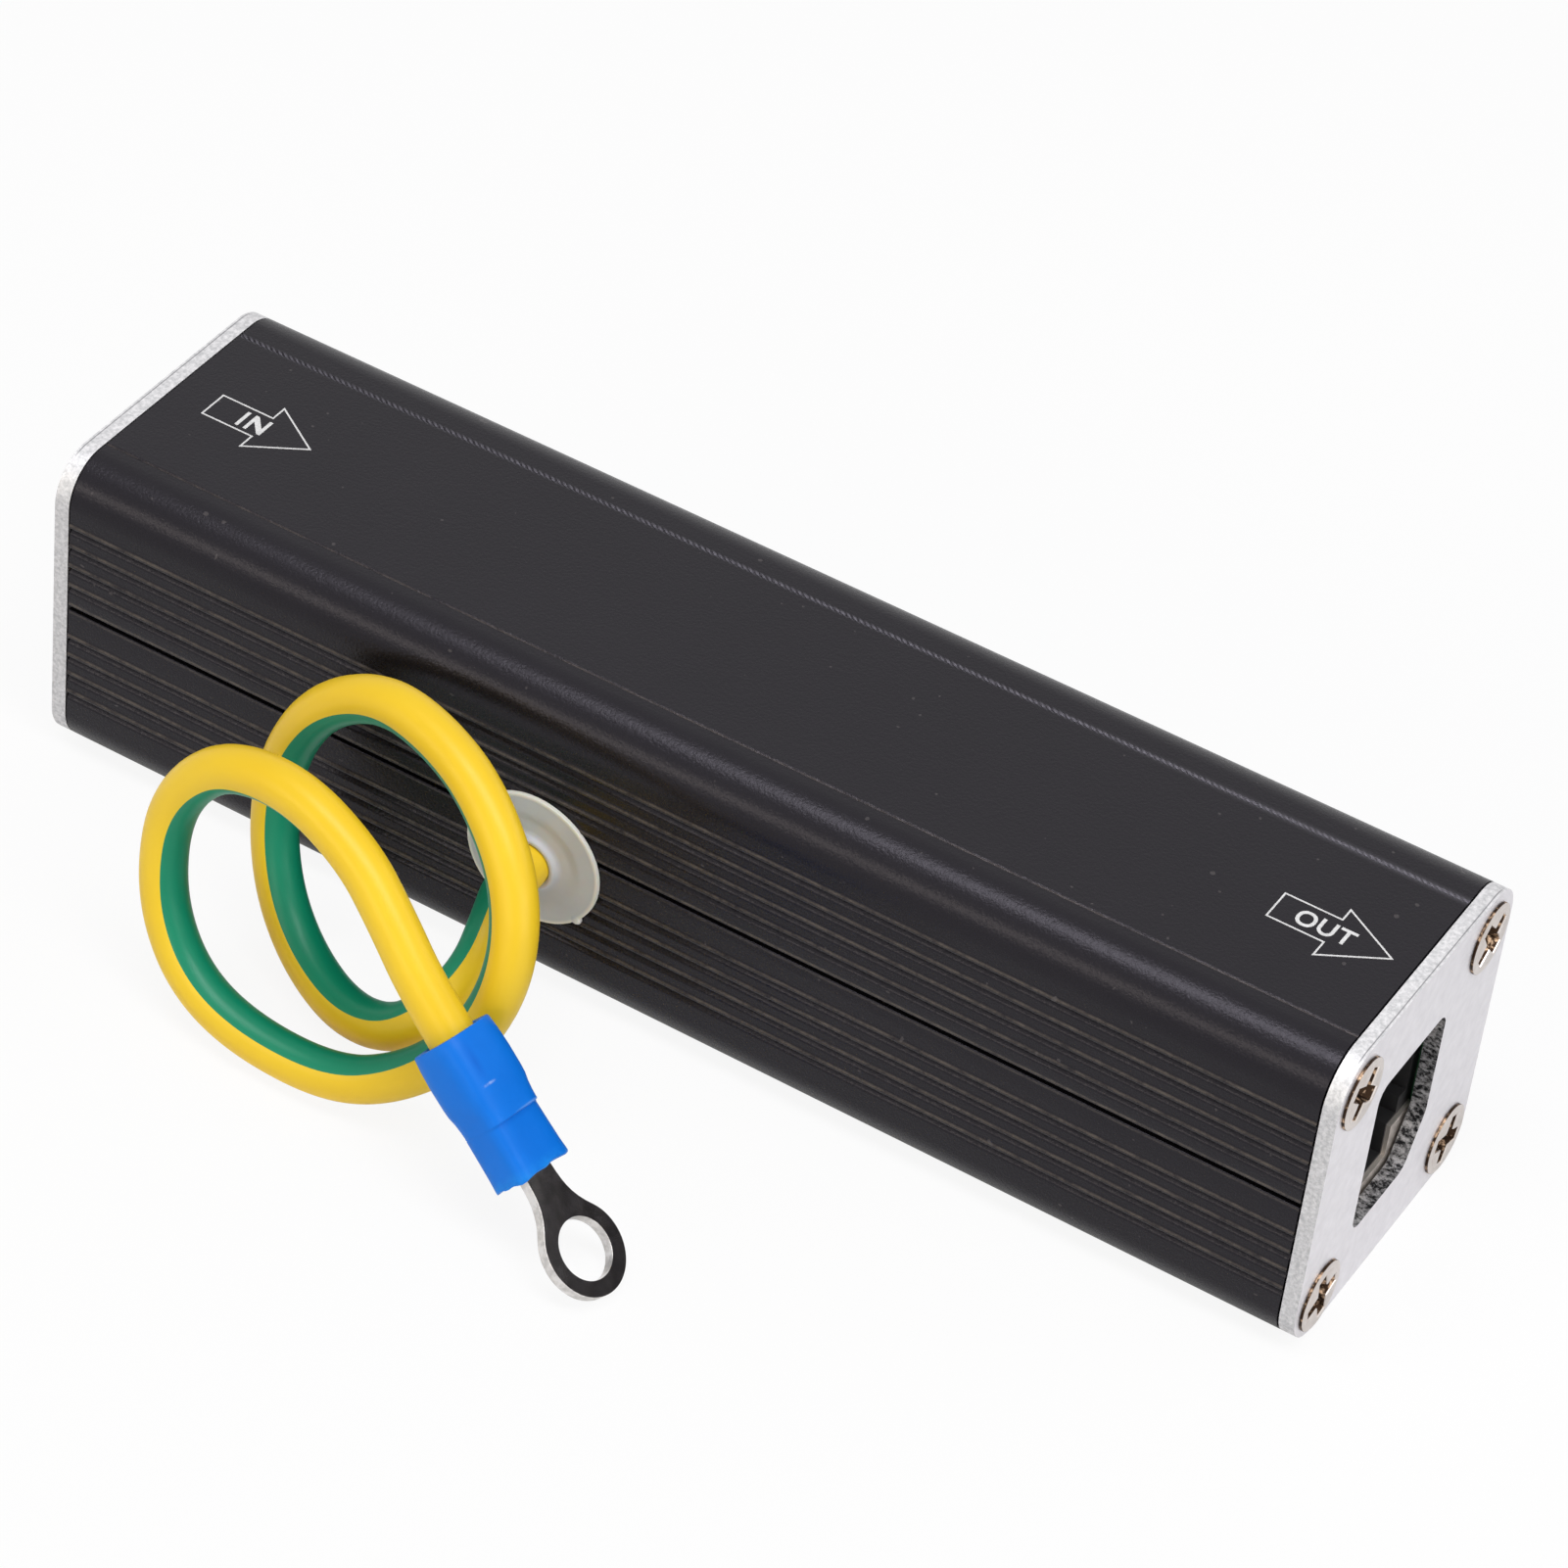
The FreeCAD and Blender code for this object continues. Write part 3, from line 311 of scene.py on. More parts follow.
def blackShell():  # anodised black, paler along its die lines, with painted highlights along its ridges and seam lips
    look = Look("black_anodised", Specular_IOR_Level=0.26, Specular_Tint=(0.93, 0.88, 1.0, 1))
    x, y, z = look.axis("X"), look.axis("Y"), look.axis("Z")
    grain = look.noise(4.4, 2, 0.6)
    cloud = look.noise(0.12, 2, 0.5)
    toneAndHighlights = look.mix(cloud, (0.0056, 0.0049, 0.0066, 1), (0.0082, 0.0073, 0.0094, 1))
    onTop = look.ramp(z, shell["height"] - 0.3, shell["height"] - 0.1)
    rear, front = shell["halfWidth"] - shell["rearLine"], shell["frontLine"] - shell["halfWidth"]
    fade = look.ramp(x, shell["fadeFrom"], shell["fadeTo"])
    toneAndHighlights = look.mix(near(y, rear, 0.55) * fade * 0.5 * onTop, toneAndHighlights, (0.092, 0.088, 0.100, 1))
    twist = look.math("SINE", (x + y * 1.5) * (2 * math.pi / shell["twist"]))
    rope = look.ramp(twist + look.noise(2.5, 2, 0.6) * 1.6, 0.3, 1.4)
    toneAndHighlights = look.mix(near(y, rear, 0.3) * rope * onTop, toneAndHighlights, (0.125, 0.120, 0.140, 1))
    thin = look.ramp(look.noise(0.6, 3, 0.7), 0.3, 0.6)
    toneAndHighlights = look.mix(near(y, front, 0.13) * thin * onTop, toneAndHighlights, (0.070, 0.058, 0.050, 1))
    # painted highlight: a warm pale line along each ridge's upper side on the side faces, broken by noise
    side = look.ramp(look.math("ABSOLUTE", y), shell["halfWidth"] - 0.12, shell["halfWidth"] - 0.06)
    highlightSide = look.ramp(look.noise(1.3, 4, 0.8, (0.6, 1, 1)), 0.32, 0.62, 0.12, 1.0) * side
    for start, pitch in ((shell["reedsLow"], shell["pitchLow"]), (shell["reedsHigh"], shell["pitchHigh"])):
        end = start + (shell["reeds"] - 1) * pitch + 1.2
        away = look.math("PINGPONG", z - (start + shell["ridgeTop"]), pitch / 2)
        inside = look.ramp(z, start, start + 0.1) * look.ramp(z, end, end - 0.1)
        toneAndHighlights = look.mix(look.ramp(away, 0.15, 0.03) * inside * highlightSide, toneAndHighlights, (0.088, 0.074, 0.062, 1))
    # painted highlights: a pale line just above the seam and a fainter one below it
    toneAndHighlights = look.mix(near(z, shell["seamHigh"] + 0.24, 0.16) * highlightSide, toneAndHighlights, (0.125, 0.105, 0.085, 1))
    toneAndHighlights = look.mix(near(z, shell["seamLow"] - 0.15, 0.10) * highlightSide, toneAndHighlights, (0.055, 0.048, 0.042, 1))
    speck = look.ramp(look.noise(1.6, 0, 0.5), 0.84, 0.87)
    look.colour(look.mix(speck * 0.5, toneAndHighlights, (0.10, 0.09, 0.09, 1)))
    look.rough(0.22 + 0.12 * grain)
    look.bump(grain, 0.03, 0.8)
    return look.material


def plateMetal():  # a calm face, mottled edges, and walls inside the window mottled from near black to silver
    look = Look("plate_aluminium", Metallic=1.0, Specular_IOR_Level=0.5)
    facing = look.part(look.node("ShaderNodeNewGeometry", {}, {}, "Normal"), "X")
    edge = look.ramp(look.math("ABSOLUTE", facing), 0.75, 0.45)
    tone = look.ramp(look.noise(0.9, 3, 0.6), 0.3, 0.75)
    flat = look.mix(tone, (0.70, 0.685, 0.71, 1), (0.78, 0.765, 0.79, 1))
    sheared = look.noise(3.0, 4, 0.7)
    strip = look.mix(look.ramp(sheared, 0.35, 0.65), (0.48, 0.48, 0.49, 1), (0.72, 0.71, 0.72, 1))
    outward = look.math("ABSOLUTE", look.axis("X"))
    scored = near(outward, shell["right"] + plate["thick"] - 0.2, 0.07)
    scored = scored * look.ramp(look.axis("Z"), shell["height"] - 0.4, shell["height"] - 0.1) * edge
    strip = look.mix(scored * 0.8, strip, (0.10, 0.10, 0.11, 1))
    front, rear, below, above = plate["window"]
    across = look.math("ABSOLUTE", look.axis("Y") - (front + rear) / 2)
    up = look.math("ABSOLUTE", look.axis("Z") - (below + above) / 2)
    halfWide, halfTall = (rear - front) / 2, (above - below) / 2
    wall = look.ramp(across, halfWide + 1, halfWide + 0.3) * look.ramp(up, halfTall + 1, halfTall + 0.3)
    wallMottle = look.ramp(look.noise(2.3, 4, 0.75, (0.8, 1, 1)), 0.42, 0.62)
    cut = look.mix(wallMottle, (0.025, 0.025, 0.027, 1), (0.58, 0.57, 0.58, 1))
    look.colour(look.mix(wall * edge, look.mix(edge, flat, strip), cut))
    fine = look.noise(6, 4, 0.6)
    look.rough(0.42 + edge * 0.15 + fine * 0.06)
    look.bump(fine + edge * sheared * 2, 0.02, 0.4)
    return look.material


def screwMetal():
    look = Look("screw_nickel", Metallic=1.0)
    bright = look.mix(look.noise(1.1, 3, 0.6), (0.52, 0.46, 0.42, 1), (0.76, 0.71, 0.68, 1))
    outward = look.math("ABSOLUTE", look.axis("X"))
    face = shell["right"] + plate["thick"]
    deep = look.ramp(outward, face + 0.215, face + 0.195)  # painted shade darkens the recess and the rim, and painted glints lie in the recess
    recessGlint = look.ramp(look.noise(2.0, 2, 0.6), 0.52, 0.66)
    dark = look.mix(recessGlint, (0.040, 0.023, 0.014, 1), (0.60, 0.42, 0.28, 1))
    look.colour(look.mix(deep, bright, dark))
    look.rough(0.22 + 0.2 * look.noise(3, 3, 0.6) + deep * 0.2)
    look.bump(look.noise(8, 3, 0.6), 0.01, 0.3)
    return look.material


def softGrommet():
    look = Look("grommet_nylon", Subsurface_Weight=0.2, Subsurface_Scale=0.002, Specular_IOR_Level=0.45)
    body = look.mix(look.noise(0.35, 3, 0.6), (0.500, 0.505, 0.525, 1), (0.610, 0.605, 0.610, 1))
    across, up = look.axis("X") - grommet["place"][0], look.axis("Z") - grommet["place"][1]
    radius = (across * across + up * up) ** 0.5
    # painted highlight: a warm pale ring along the flange's rim
    rim = look.ramp(radius, grommet["flange"] - 0.34, grommet["flange"] - 0.12)
    look.colour(look.mix(rim, body, (0.84, 0.78, 0.70, 1)))
    look.rough(0.34 + 0.1 * look.noise(1.5, 2, 0.5))
    look.bump(look.noise(2.5, 3, 0.5), 0.015, 0.4)
    return look.material


def wirePlastic(name, one, two):
    look = Look(name, Specular_IOR_Level=0.35)
    look.colour(look.mix(look.noise(0.15, 2, 0.5), one, two))
    look.rough(0.34 + 0.08 * look.noise(1.5, 2, 0.5))
    look.bump(look.noise(3.5, 2, 0.5), 0.008, 0.3)
    return look.material


def bluePlastic(mouth, ways):  # the crimping tool leaves a nick on the upper side, beside a painted shadow strip and a painted highlight on the lip
    look = Look("blue_vinyl", Specular_IOR_Level=0.2)
    along, across, through = (look.along(mouth, way) for way in ways)
    top = look.ramp(through, 0.6, 1.2)
    base = look.mix(look.noise(0.4, 3, 0.6), (0.002, 0.160, 0.70, 1), (0.003, 0.195, 0.79, 1))
    # painted shadow: a darker strip beside the crimp's ridge
    ridgeShadow = near(along, terminal["ridgeShadow"][0], 1.9) * near(across, terminal["ridgeShadow"][1], 0.45) * top
    base = look.mix(ridgeShadow * 0.5, base, (0.003, 0.095, 0.54, 1))
    nick = near(along, terminal["nick"][0], 0.13) * near(across, terminal["nick"][1], 0.7) * top
    base = look.mix(nick * look.ramp(look.noise(3, 2, 0.6), 0.3, 0.6), base, (0.42, 0.58, 0.95, 1))
    # painted highlight along the lip at the crimp's step
    lip = near(along, terminal["step"] - 0.06, 0.12) * look.ramp(across, -0.6, 0.8) * top
    base = look.mix(lip * 0.6, base, (0.20, 0.44, 0.95, 1))
    stretched = look.ramp(along, terminal["sleeve"] - 0.9, terminal["sleeve"])
    pale = stretched * look.ramp(look.noise(1.1, 3, 0.7), 0.3, 0.7)
    look.colour(look.mix(pale * 0.55, base, (0.02, 0.36, 0.95, 1)))
    look.rough(0.38 + 0.12 * look.noise(2, 2, 0.5))
    look.bump(look.noise(1.6, 3, 0.6), 0.03, 0.4)
    return look.material


def tinPlate():
    look = Look("tinned_copper", Metallic=1.0)
    streak = look.ramp(look.noise(1.2, 3, 0.7), 0.38, 0.6)
    look.colour(look.mix(streak, (0.56, 0.54, 0.52, 1), (0.76, 0.74, 0.72, 1)))
    look.rough(0.075 + 0.035 * look.noise(1.4, 3, 0.6))
    look.bump(look.noise(0.7, 2, 0.5), 0.006, 0.3)
    return look.material


def inkWhite():
    look = Look("screen_print", Specular_IOR_Level=0.3)
    thin = look.noise(4, 3, 0.6)
    look.colour(look.mix(look.ramp(thin, 0.4, 0.7), (0.70, 0.70, 0.70, 1), (0.86, 0.86, 0.86, 1)))
    look.rough(0.55 + 0.1 * thin)
    return look.material


def plain(name, one, two, rough, metallic=0.0):  # inner pieces, with a little variation
    look = Look(name, Metallic=metallic)
    look.colour(look.mix(look.noise(1.5, 3, 0.6), (*one, 1), (*two, 1)))
    look.rough(rough + 0.1 * look.noise(4.5, 2, 0.5))
    look.bump(look.noise(6, 2, 0.5), 0.01, 0.3)
    return look.material


# Earth wire: the stripe's half width is in degrees, and the shares are of the wire's length

wire = dict(radius=1.7, length=178, exit=(-10.0, -13.7, 11.5), sides=28, stripeSides=9, stripeHalf=57,
            firstCentre=(-15.5, -23.5, 14), secondCentre=(-18.5, -29, 12), handOver=0.45, handOverLong=0.15,
            resolution=12, smoothing=12)
route = [  # the wire's middle, from the board through the grommet and two turns to the terminal
    (-11.5, 2.0, 12.5), (-11.5, -2.5, 12.5), (-10.0, -7.5, 11.5), (-10.0, -16.0, 11.5),
    (-8.5, -20.0, 11.5), (-8.0, -23.0, 9.5), (-9.5, -25.5, 6.5), (-12.5, -26.0, 3.5),
    (-17.0, -25.0, 2.0), (-22.2, -22.5, 2.5), (-25.9, -20.5, 5.7), (-27.9, -18.5, 10.7),
    (-27.4, -17.5, 16.1), (-24.4, -17.5, 21.3), (-19.4, -18.0, 24.6), (-14.0, -19.5, 24.8),
    (-9.1, -21.5, 23.6), (-4.6, -24.0, 19.8), (-3.0, -26.5, 14.5), (-4.5, -28.5, 9.0),
    (-8.5, -30.0, 4.5), (-13.5, -31.0, 2.0), (-21.0, -31.0, 2.0), (-26.5, -30.0, 3.5),
    (-30.0, -28.5, 7.5), (-31.0, -27.0, 13.0), (-29.5, -26.5, 17.5), (-26.0, -26.5, 21.0),
    (-20.0, -27.5, 22.5), (-14.0, -29.0, 21.0), (-10.2, -30.5, 18.5), (-6.2, -32.0, 15.0),
    (-0.9, -33.0, 10.7),
]


def splinePoints(places):
    curve = bpy.data.curves.new("route", "CURVE")
    curve.dimensions = "3D"
    curve.resolution_u = wire["resolution"]
    spline = curve.splines.new("NURBS")
    spline.points.add(len(places) - 1)
    for point, place in zip(spline.points, places):
        point.co = (*place, 1)
    spline.order_u = 3
    spline.use_endpoint_u = True
    holder = bpy.data.objects.new("route", curve)
    scene.collection.objects.link(holder)
    points = [vertex.co.copy() for vertex in bpy.data.meshes.new_from_object(holder).vertices]
    bpy.data.objects.remove(holder)
    return points


def tangents(points):
    ways = []
    for index in range(len(points)):
        before, after = points[max(index - 1, 0)], points[min(index + 1, len(points) - 1)]
        ways.append((after - before).normalized())
    return ways


def stripeWays(points, ways):  # the stripe looks towards the middle of the turn that it is in
    one, two = Vector(wire["firstCentre"]), Vector(wire["secondCentre"])
    sides = []
    for index, (point, way) in enumerate(zip(points, ways)):
        share = (index / len(points) - wire["handOver"]) / wire["handOverLong"]
        aim = one.lerp(two, min(1, max(0, share))) - point
        sides.append((aim - way * aim.dot(way)).normalized())
    for turn in range(wire["smoothing"]):
        sides = [a + b + c for a, b, c in zip([sides[0]] + sides[:-1], sides, sides[1:] + [sides[-1]])]
        sides = [(side - way * side.dot(way)).normalized() for side, way in zip(sides, ways)]
    return sides


def makeWire():
    points = splinePoints(route)
    ways = tangents(points)
    green, half = wire["stripeSides"], wire["stripeHalf"]
    yellow = wire["sides"] - green
    angles = [-half + 2 * half * step / green for step in range(green)]
    angles += [half + (360 - 2 * half) * step / yellow for step in range(yellow)]
    form = Form()
    rings = []
    for point, way, side in zip(points, ways, stripeWays(points, ways)):
        other = way.cross(side)
        places = []
        for angle in angles:
            turn = math.radians(angle)
            places.append(point + (side * math.cos(turn) + other * math.sin(turn)) * wire["radius"])
        rings.append(form.ring(places))
    form.tube(rings, [1] * green + [0] * yellow)
    return form.piece("earth_wire_insulation", 60), [point * mm for point in points]


# Ring terminal: the painted shadow strip and the nick are given along and across, the neck's end in degrees
# off the tongue

terminal = dict(start=3.2, normal=(0.61, 0.04, 0.79), sleeve=10.6, reach=6.1, ringOuter=3.4, hole=2.25,
                thick=0.8, neck=1.3, hidden=0.8, neckEnd=52, bow=0.55, flare=1.7, curveSteps=9, edge=0.16,
                barrel=1.5, mouthLong=4.6, ragged=0.16, raggedFrom=10.2, step=6.5, crimpTall=4.14,
                ridgeShadow=(2.1, -1.4), nick=(3.85, -1.3))
sleeveStations = [  # along, across, through, power of the oval
    (0.0, 5.16, 4.60, 3.2), (0.12, 5.34, 4.74, 3.2), (1.0, 5.44, 4.80, 3.4), (2.4, 5.52, 4.80, 3.6),
    (4.0, 5.50, 4.66, 3.8), (4.6, 5.40, 4.54, 4.0), (5.2, 5.12, 4.34, 4.2), (5.8, 4.98, 4.20, 4.4),
    (6.34, 4.94, 4.14, 4.4), (6.42, 4.96, 4.18, 4.4), (6.50, 4.94, 4.10, 4.4), (6.56, 4.92, 3.90, 4.6),
    (6.7, 4.92, 3.84, 4.6), (8.4, 4.96, 3.84, 4.8), (9.6, 5.04, 3.84, 4.8), (10.3, 5.16, 3.86, 4.8),
    (10.5, 5.18, 3.86, 4.8), (10.6, 5.08, 3.76, 4.8),
]


def layTerminal():  # a place along the terminal, across it and through its flat side
    bend, end = Vector(route[-2]), Vector(route[-1])
    along = (end - bend).normalized()
    normal = Vector(terminal["normal"])
    normal = (normal - along * normal.dot(along)).normalized()
    across = normal.cross(along)
    mouth = bend + along * terminal["start"]

    def place(a, b, c):
        return mouth + along * a + across * b + normal * c

    return place, (end - mouth).length, mouth, (along, across, normal)


def makeSleeve(place):
    form = Form()
    outside = []
    for along, wide, tall, power in sleeveStations:
        wave = terminal["ragged"] * max(0, along - terminal["raggedFrom"])
        past = along > terminal["step"]
        drop = (terminal["crimpTall"] - tall) / 2 if past else 0  # past the crimp only the top is lower
        places = []
        for step, (b, c) in enumerate(squircle(wide, tall, power)):
            tooth = wave * (math.sin(0.5 * step) + math.sin(1.3 * step))
            places.append(place(along + tooth, b, c - drop))
        outside.append(form.ring(places))
    form.tube(outside, shut=False)
    radius, barrel, mouthEnd = wire["radius"], terminal["barrel"], terminal["mouthLong"]
    bores = ((0.0, radius + 0.35), (0.3, radius + 0.05), (mouthEnd, radius + 0.02), (mouthEnd + 0.1, barrel),
             (terminal["sleeve"] - 0.5, barrel), (terminal["sleeve"] - 0.05, barrel - 0.1))
    inside = [form.ring([place(along, b, c) for b, c in circle(0, 0, bore, len(outside[0]))])
              for along, bore in bores]
    form.tube(inside, shut=False)
    form.band(outside[0], inside[0])
    form.band(outside[-1], inside[-1])
    return form.piece("terminal_sleeve_vinyl", 50)


def makeRing(place, seat):
    length, thick, barrel = terminal["sleeve"], terminal["thick"], 2 * terminal["barrel"]
    centre = length + terminal["reach"]
    outer, leave = terminal["ringOuter"], 180 - terminal["neckEnd"]
    start = (length - terminal["hidden"], terminal["neck"])
    end = arc(centre, 0, outer, leave, leave, 1)[0]
    curve = []
    for step in range(terminal["curveSteps"]):
        share = step / terminal["curveSteps"]
        bow = terminal["bow"] * math.sin(math.pi * share) * share
        curve.append((start[0] + (end[0] - start[0]) * share,
                      start[1] + (end[1] - start[1]) * share ** terminal["flare"] - bow))
    outline = curve + arc(centre, 0, outer, leave, -leave, 44) + [(a, -b) for a, b in reversed(curve)]
    form = Form()
    form.prism([outline, circle(centre, 0, terminal["hole"])], place, -thick / 2, thick / 2)
    blade = bevel(form.piece("ring_blade"), terminal["edge"], 3, 50)
    stations = ((seat, barrel, barrel), (length - 1.4, barrel, barrel), (length - 0.9, 3.1, 2.6),
                (length - 0.5, 2.7, 1.4), (length - 0.2, 2.5, 0.9))  # along, across, through
    form = Form()
    form.tube([form.ring([place(along, b, c) for b, c in squircle(wide, tall, 2.2)])
               for along, wide, tall in stations])
    return blade, form.piece("ring_barrel", 50)


# Grommet in the joint line: its radii, its heights over the wall, and the mould's nub in degrees

grommet = dict(place=(-10.0, 11.5), wall=1.5, flange=5.4, rim=0.5, stand=0.5, collar=2.2, neck=3.5, lip=4.2,
               inner=2.4, bore=1.72, nubTurn=-43, nubInset=0.12)
nubStations = ((0.08, 0.42), (0.25, 0.42), (0.36, 0.34), (0.4, 0.2))  # height and radius of the nub


def makeGrommet(side):
    across, up = grommet["place"]
    flange, rim, collar = grommet["flange"], grommet["rim"], grommet["collar"]
    wall, inner, bore = grommet["wall"], grommet["inner"], grommet["bore"]
    neck, lip = grommet["neck"], grommet["lip"]
    top = rim + grommet["stand"]

    def place(out, b, c):
        return Vector((across + b, side - out, up + c))

    profile = [(0, flange - 0.08), (0.06, flange), (rim - 0.26, flange), (rim - 0.17, flange - 0.04),
               (rim - 0.14, flange - 0.14), (rim - 0.16, flange - 0.26), (rim - 0.15, flange - 0.45),
               (rim - 0.08, flange - 1.3), (rim - 0.05, flange - 1.75), (rim - 0.09, flange - 1.85),
               (rim - 0.02, flange - 2.3), (rim, collar + 0.45), (rim + 0.05, collar + 0.15),
               (rim + 0.2, collar + 0.02), (top - 0.1, collar - 0.04), (top - 0.02, collar - 0.12),
               (top, collar - 0.22), (top - 0.08, bore + 0.06), (top - 0.3, bore), (-inner, bore),
               (-inner, lip), (-wall, lip), (-wall, neck), (0, neck)]
    form = Form()
    lathe(form, profile, place)
    turn, reach = math.radians(grommet["nubTurn"]), flange - grommet["nubInset"]
    nub = Vector((math.cos(turn), math.sin(turn))) * reach  # what the mould's gate left on the rim
    form.tube([form.ring([place(level, b, c) for b, c in circle(nub.x, nub.y, radius, 14)])
               for level, radius in nubStations])
    return form.piece("grommet_moulding", 40)


yellowPlastic = wirePlastic("insulation_yellow", (0.88, 0.565, 0.015, 1), (0.93, 0.64, 0.028, 1))
greenPlastic = wirePlastic("insulation_green", (0.001, 0.215, 0.110, 1), (0.002, 0.260, 0.138, 1))
tin = tinPlate()
place, seat, mouth, terminalWays = layTerminal()
wirePiece, wireLine = makeWire()
finishPiece(wirePiece, "wire_insulation", [yellowPlastic, greenPlastic], "earth_wire")
sleevePiece = finishPiece(makeSleeve(place), "sleeve", [bluePlastic(mouth, terminalWays)], "terminal_sleeve")
bladePiece, barrelPiece = makeRing(place, seat)
finishPiece(bladePiece, "terminal", [tin], "ring_terminal")
finishPiece(barrelPiece, "terminal", [tin])
sideFace = boxOf("lower_shell")[0].y
grommetPiece = finishPiece(makeGrommet(sideFace), "grommet", [softGrommet()], "cable_grommet")
Vector(wire["exit"]) * mm
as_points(wireLine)
wireLength = sum((after - before).length for before, after in zip(wireLine, wireLine[1:])) / mm
print(f"earth wire: {wireLength:.1f} mm along its line")


# Housing shells, drawn as one half section measured inwards from the outer face

low, high = boxOf("lower_shell")
top = boxOf("upper_shell")[1].z
shell = dict(halfWidth=high.y, height=top, left=low.x, right=high.x, wall=grommet["wall"], corner=3.5,
             endGap=0.14, crease=30, edge=0.06, seamLow=13.2, seamHigh=13.6, lipLow=0.2, lipHigh=0.12,
             tongue=0.7, tongueTop=14.3, gap=0.05, reeds=4, reedsLow=5.3, pitchLow=1.7, reedsHigh=15.15,
             pitchHigh=1.76, reedDepth=0.26, ridge=0.1, ridgeTop=0.56, frontLine=4.25, rearLine=5.05,
             lineHalf=0.15, lineDepth=0.1, twist=0.5, fadeFrom=15, fadeTo=45, portInset=3.4, portLow=3.15,
             portTop=3.65, portBore=1.3, portReach=2.05, slotHalf=0.5, railFar=5.35, railNear=4.35,
             railLow=3.0, railTop=3.6, drillOut=2, drillIn=3)


def reed(level, way):  # a groove and the low ridge above it; way is -1 where levels run downwards
    half, depth, ridge, crest = shell["halfWidth"], shell["reedDepth"], shell["ridge"], shell["ridgeTop"]
    profile = [(0, -0.42), (0, -0.36), (-0.3 * depth, -0.22), (-depth, -0.06), (-depth, 0.06),
               (-0.35 * depth, 0.22), (0.6 * ridge, crest - 0.24), (ridge, crest - 0.15),
               (ridge, crest - 0.08), (0.75 * ridge, crest), (0.3 * ridge, crest + 0.09), (0, crest + 0.2),
               (0, crest + 0.26)]
    return [(half + out, level + way * up) for out, up in profile[::way]]


def portPoints(upper):  # a screw port: its bore with the slot, and its rounded inner corner
    port, level = shell["halfWidth"] - shell["portInset"], shell["portTop"] if upper else shell["portLow"]
    reach, bore, slot = shell["portReach"], shell["portBore"], shell["slotHalf"]
    inside, edge = shell["halfWidth"] - shell["wall"], level + reach
    nose = reach * 0.9
    swing = math.degrees(math.asin(slot / bore))
    middle = port - reach + nose
    lean = math.degrees(math.asin((middle - port + slot) / nose))
    points = [(inside, edge), (port + slot, edge)]
    points += arc(port, level, bore, 90 - swing, -270 + swing, 28)
    points += arc(middle, edge - nose, nose, 90 + lean, 180, 7)
    return points + [(port - reach, shell["wall"])]


def halfSection(upper, rail):
    half, wall, radius = shell["halfWidth"], shell["wall"], shell["corner"]
    inside = half - wall
    points = []
    if upper:
        line = half - shell["rearLine" if rail else "frontLine"]
        points += [(line + away * shell["lineHalf"], shell["lineDepth"] if away == 0 else 0)
                   for away in (-1.4, -1, 0, 1, 1.4)]
    points += arc(half - radius, radius, radius, -90, 0, 18)
    for step in range(shell["reeds"]):
        if upper:
            above = (shell["reeds"] - 1 - step) * shell["pitchHigh"]
            points += reed(shell["height"] - shell["reedsHigh"] - above, -1)
        else:
            points += reed(shell["reedsLow"] + step * shell["pitchLow"], 1)
    if upper:
        step, seam = inside + shell["tongue"] + shell["gap"], shell["height"] - shell["seamHigh"]
        end = shell["height"] - shell["tongueTop"] - shell["gap"]
    else:
        step, seam, end = inside + shell["tongue"], shell["seamLow"], shell["tongueTop"]
    lip = shell["lipHigh"] if upper else shell["lipLow"]
    points += arc(half - lip, seam - lip, lip, 0, 90, 6)
    points += [(step, seam), (step, end), (inside, end)]
    points += portPoints(upper)
    if rail:
        level = shell["railTop"] if upper else shell["railLow"]
        points += [(shell["railFar"], wall), (shell["railFar"], level), (shell["railNear"], level),
                   (shell["railNear"], wall)]
    return points


def makeShell(name, upper):
    rear = halfSection(upper, True)
    front = [(-a, b) for a, b in reversed(halfSection(upper, False))]

    def place(a, b, x):
        return Vector((x, a, shell["height"] - b if upper else b))

    form = Form()
    form.prism([rear + front], place, shell["left"] + shell["endGap"], shell["right"] - shell["endGap"])
    thing = form.piece(name, shell["crease"])
    across, up = grommet["place"]
    outside = -shell["halfWidth"]
    drill = Form()
    drill.prism([circle(across, up, grommet["neck"] + shell["gap"])], lambda a, b, c: Vector((a, c, b)),
                outside - shell["drillOut"], outside + shell["drillIn"])
    cutWith(thing, drill.piece("drill"), shell["crease"])
    return bevel(thing, shell["edge"], 2, 50)


black = blackShell()
finishPiece(makeShell("lower_housing", False), "shell", [black], "lower_shell")
finishPiece(makeShell("upper_housing", True), "shell", [black], "upper_shell")
print("housing shells made")


# End plates: the window's front, rear, lower and upper edge, and its cut corner across and up

plate = dict(thick=boxOf("end_plate_out")[1].x - shell["right"], window=(-5.5, 4.3, 5.8, 19.0),
             cut=(2.1, 3.9), windowRound=1.2, holeFace=2.48, holeDeep=0.95, hole=1.5, edge=0.14)


def plateOutline():
    radius = shell["corner"]
    side, up = shell["halfWidth"] - radius, shell["height"] - radius
    corners = ((-side, radius, 180), (side, radius, 270), (side, up, 0), (-side, up, 90))
    return [point for a, b, start in corners for point in arc(a, b, radius, start, start + 90, 14)]


def roundedCorners(corners, radius, steps=4):
    points = []
    count = len(corners)
    for index, corner in enumerate(corners):
        corner = Vector(corner)
        before = (Vector(corners[index - 1]) - corner).normalized()
        after = (Vector(corners[(index + 1) % count]) - corner).normalized()
        half = before.angle(after) / 2
        centre = corner + (before + after).normalized() * (radius / math.sin(half))
        start, end = corner + before * (radius / math.tan(half)), corner + after * (radius / math.tan(half))
        for step in range(steps + 1):
            way = (start - centre).lerp(end - centre, step / steps).normalized()
            points.append(tuple(centre + way * radius))
    return points


def screwPlaces():
    port = shell["halfWidth"] - shell["portInset"]
    return [(across, up) for across in (-port, port)
            for up in (shell["portLow"], shell["height"] - shell["portTop"])]


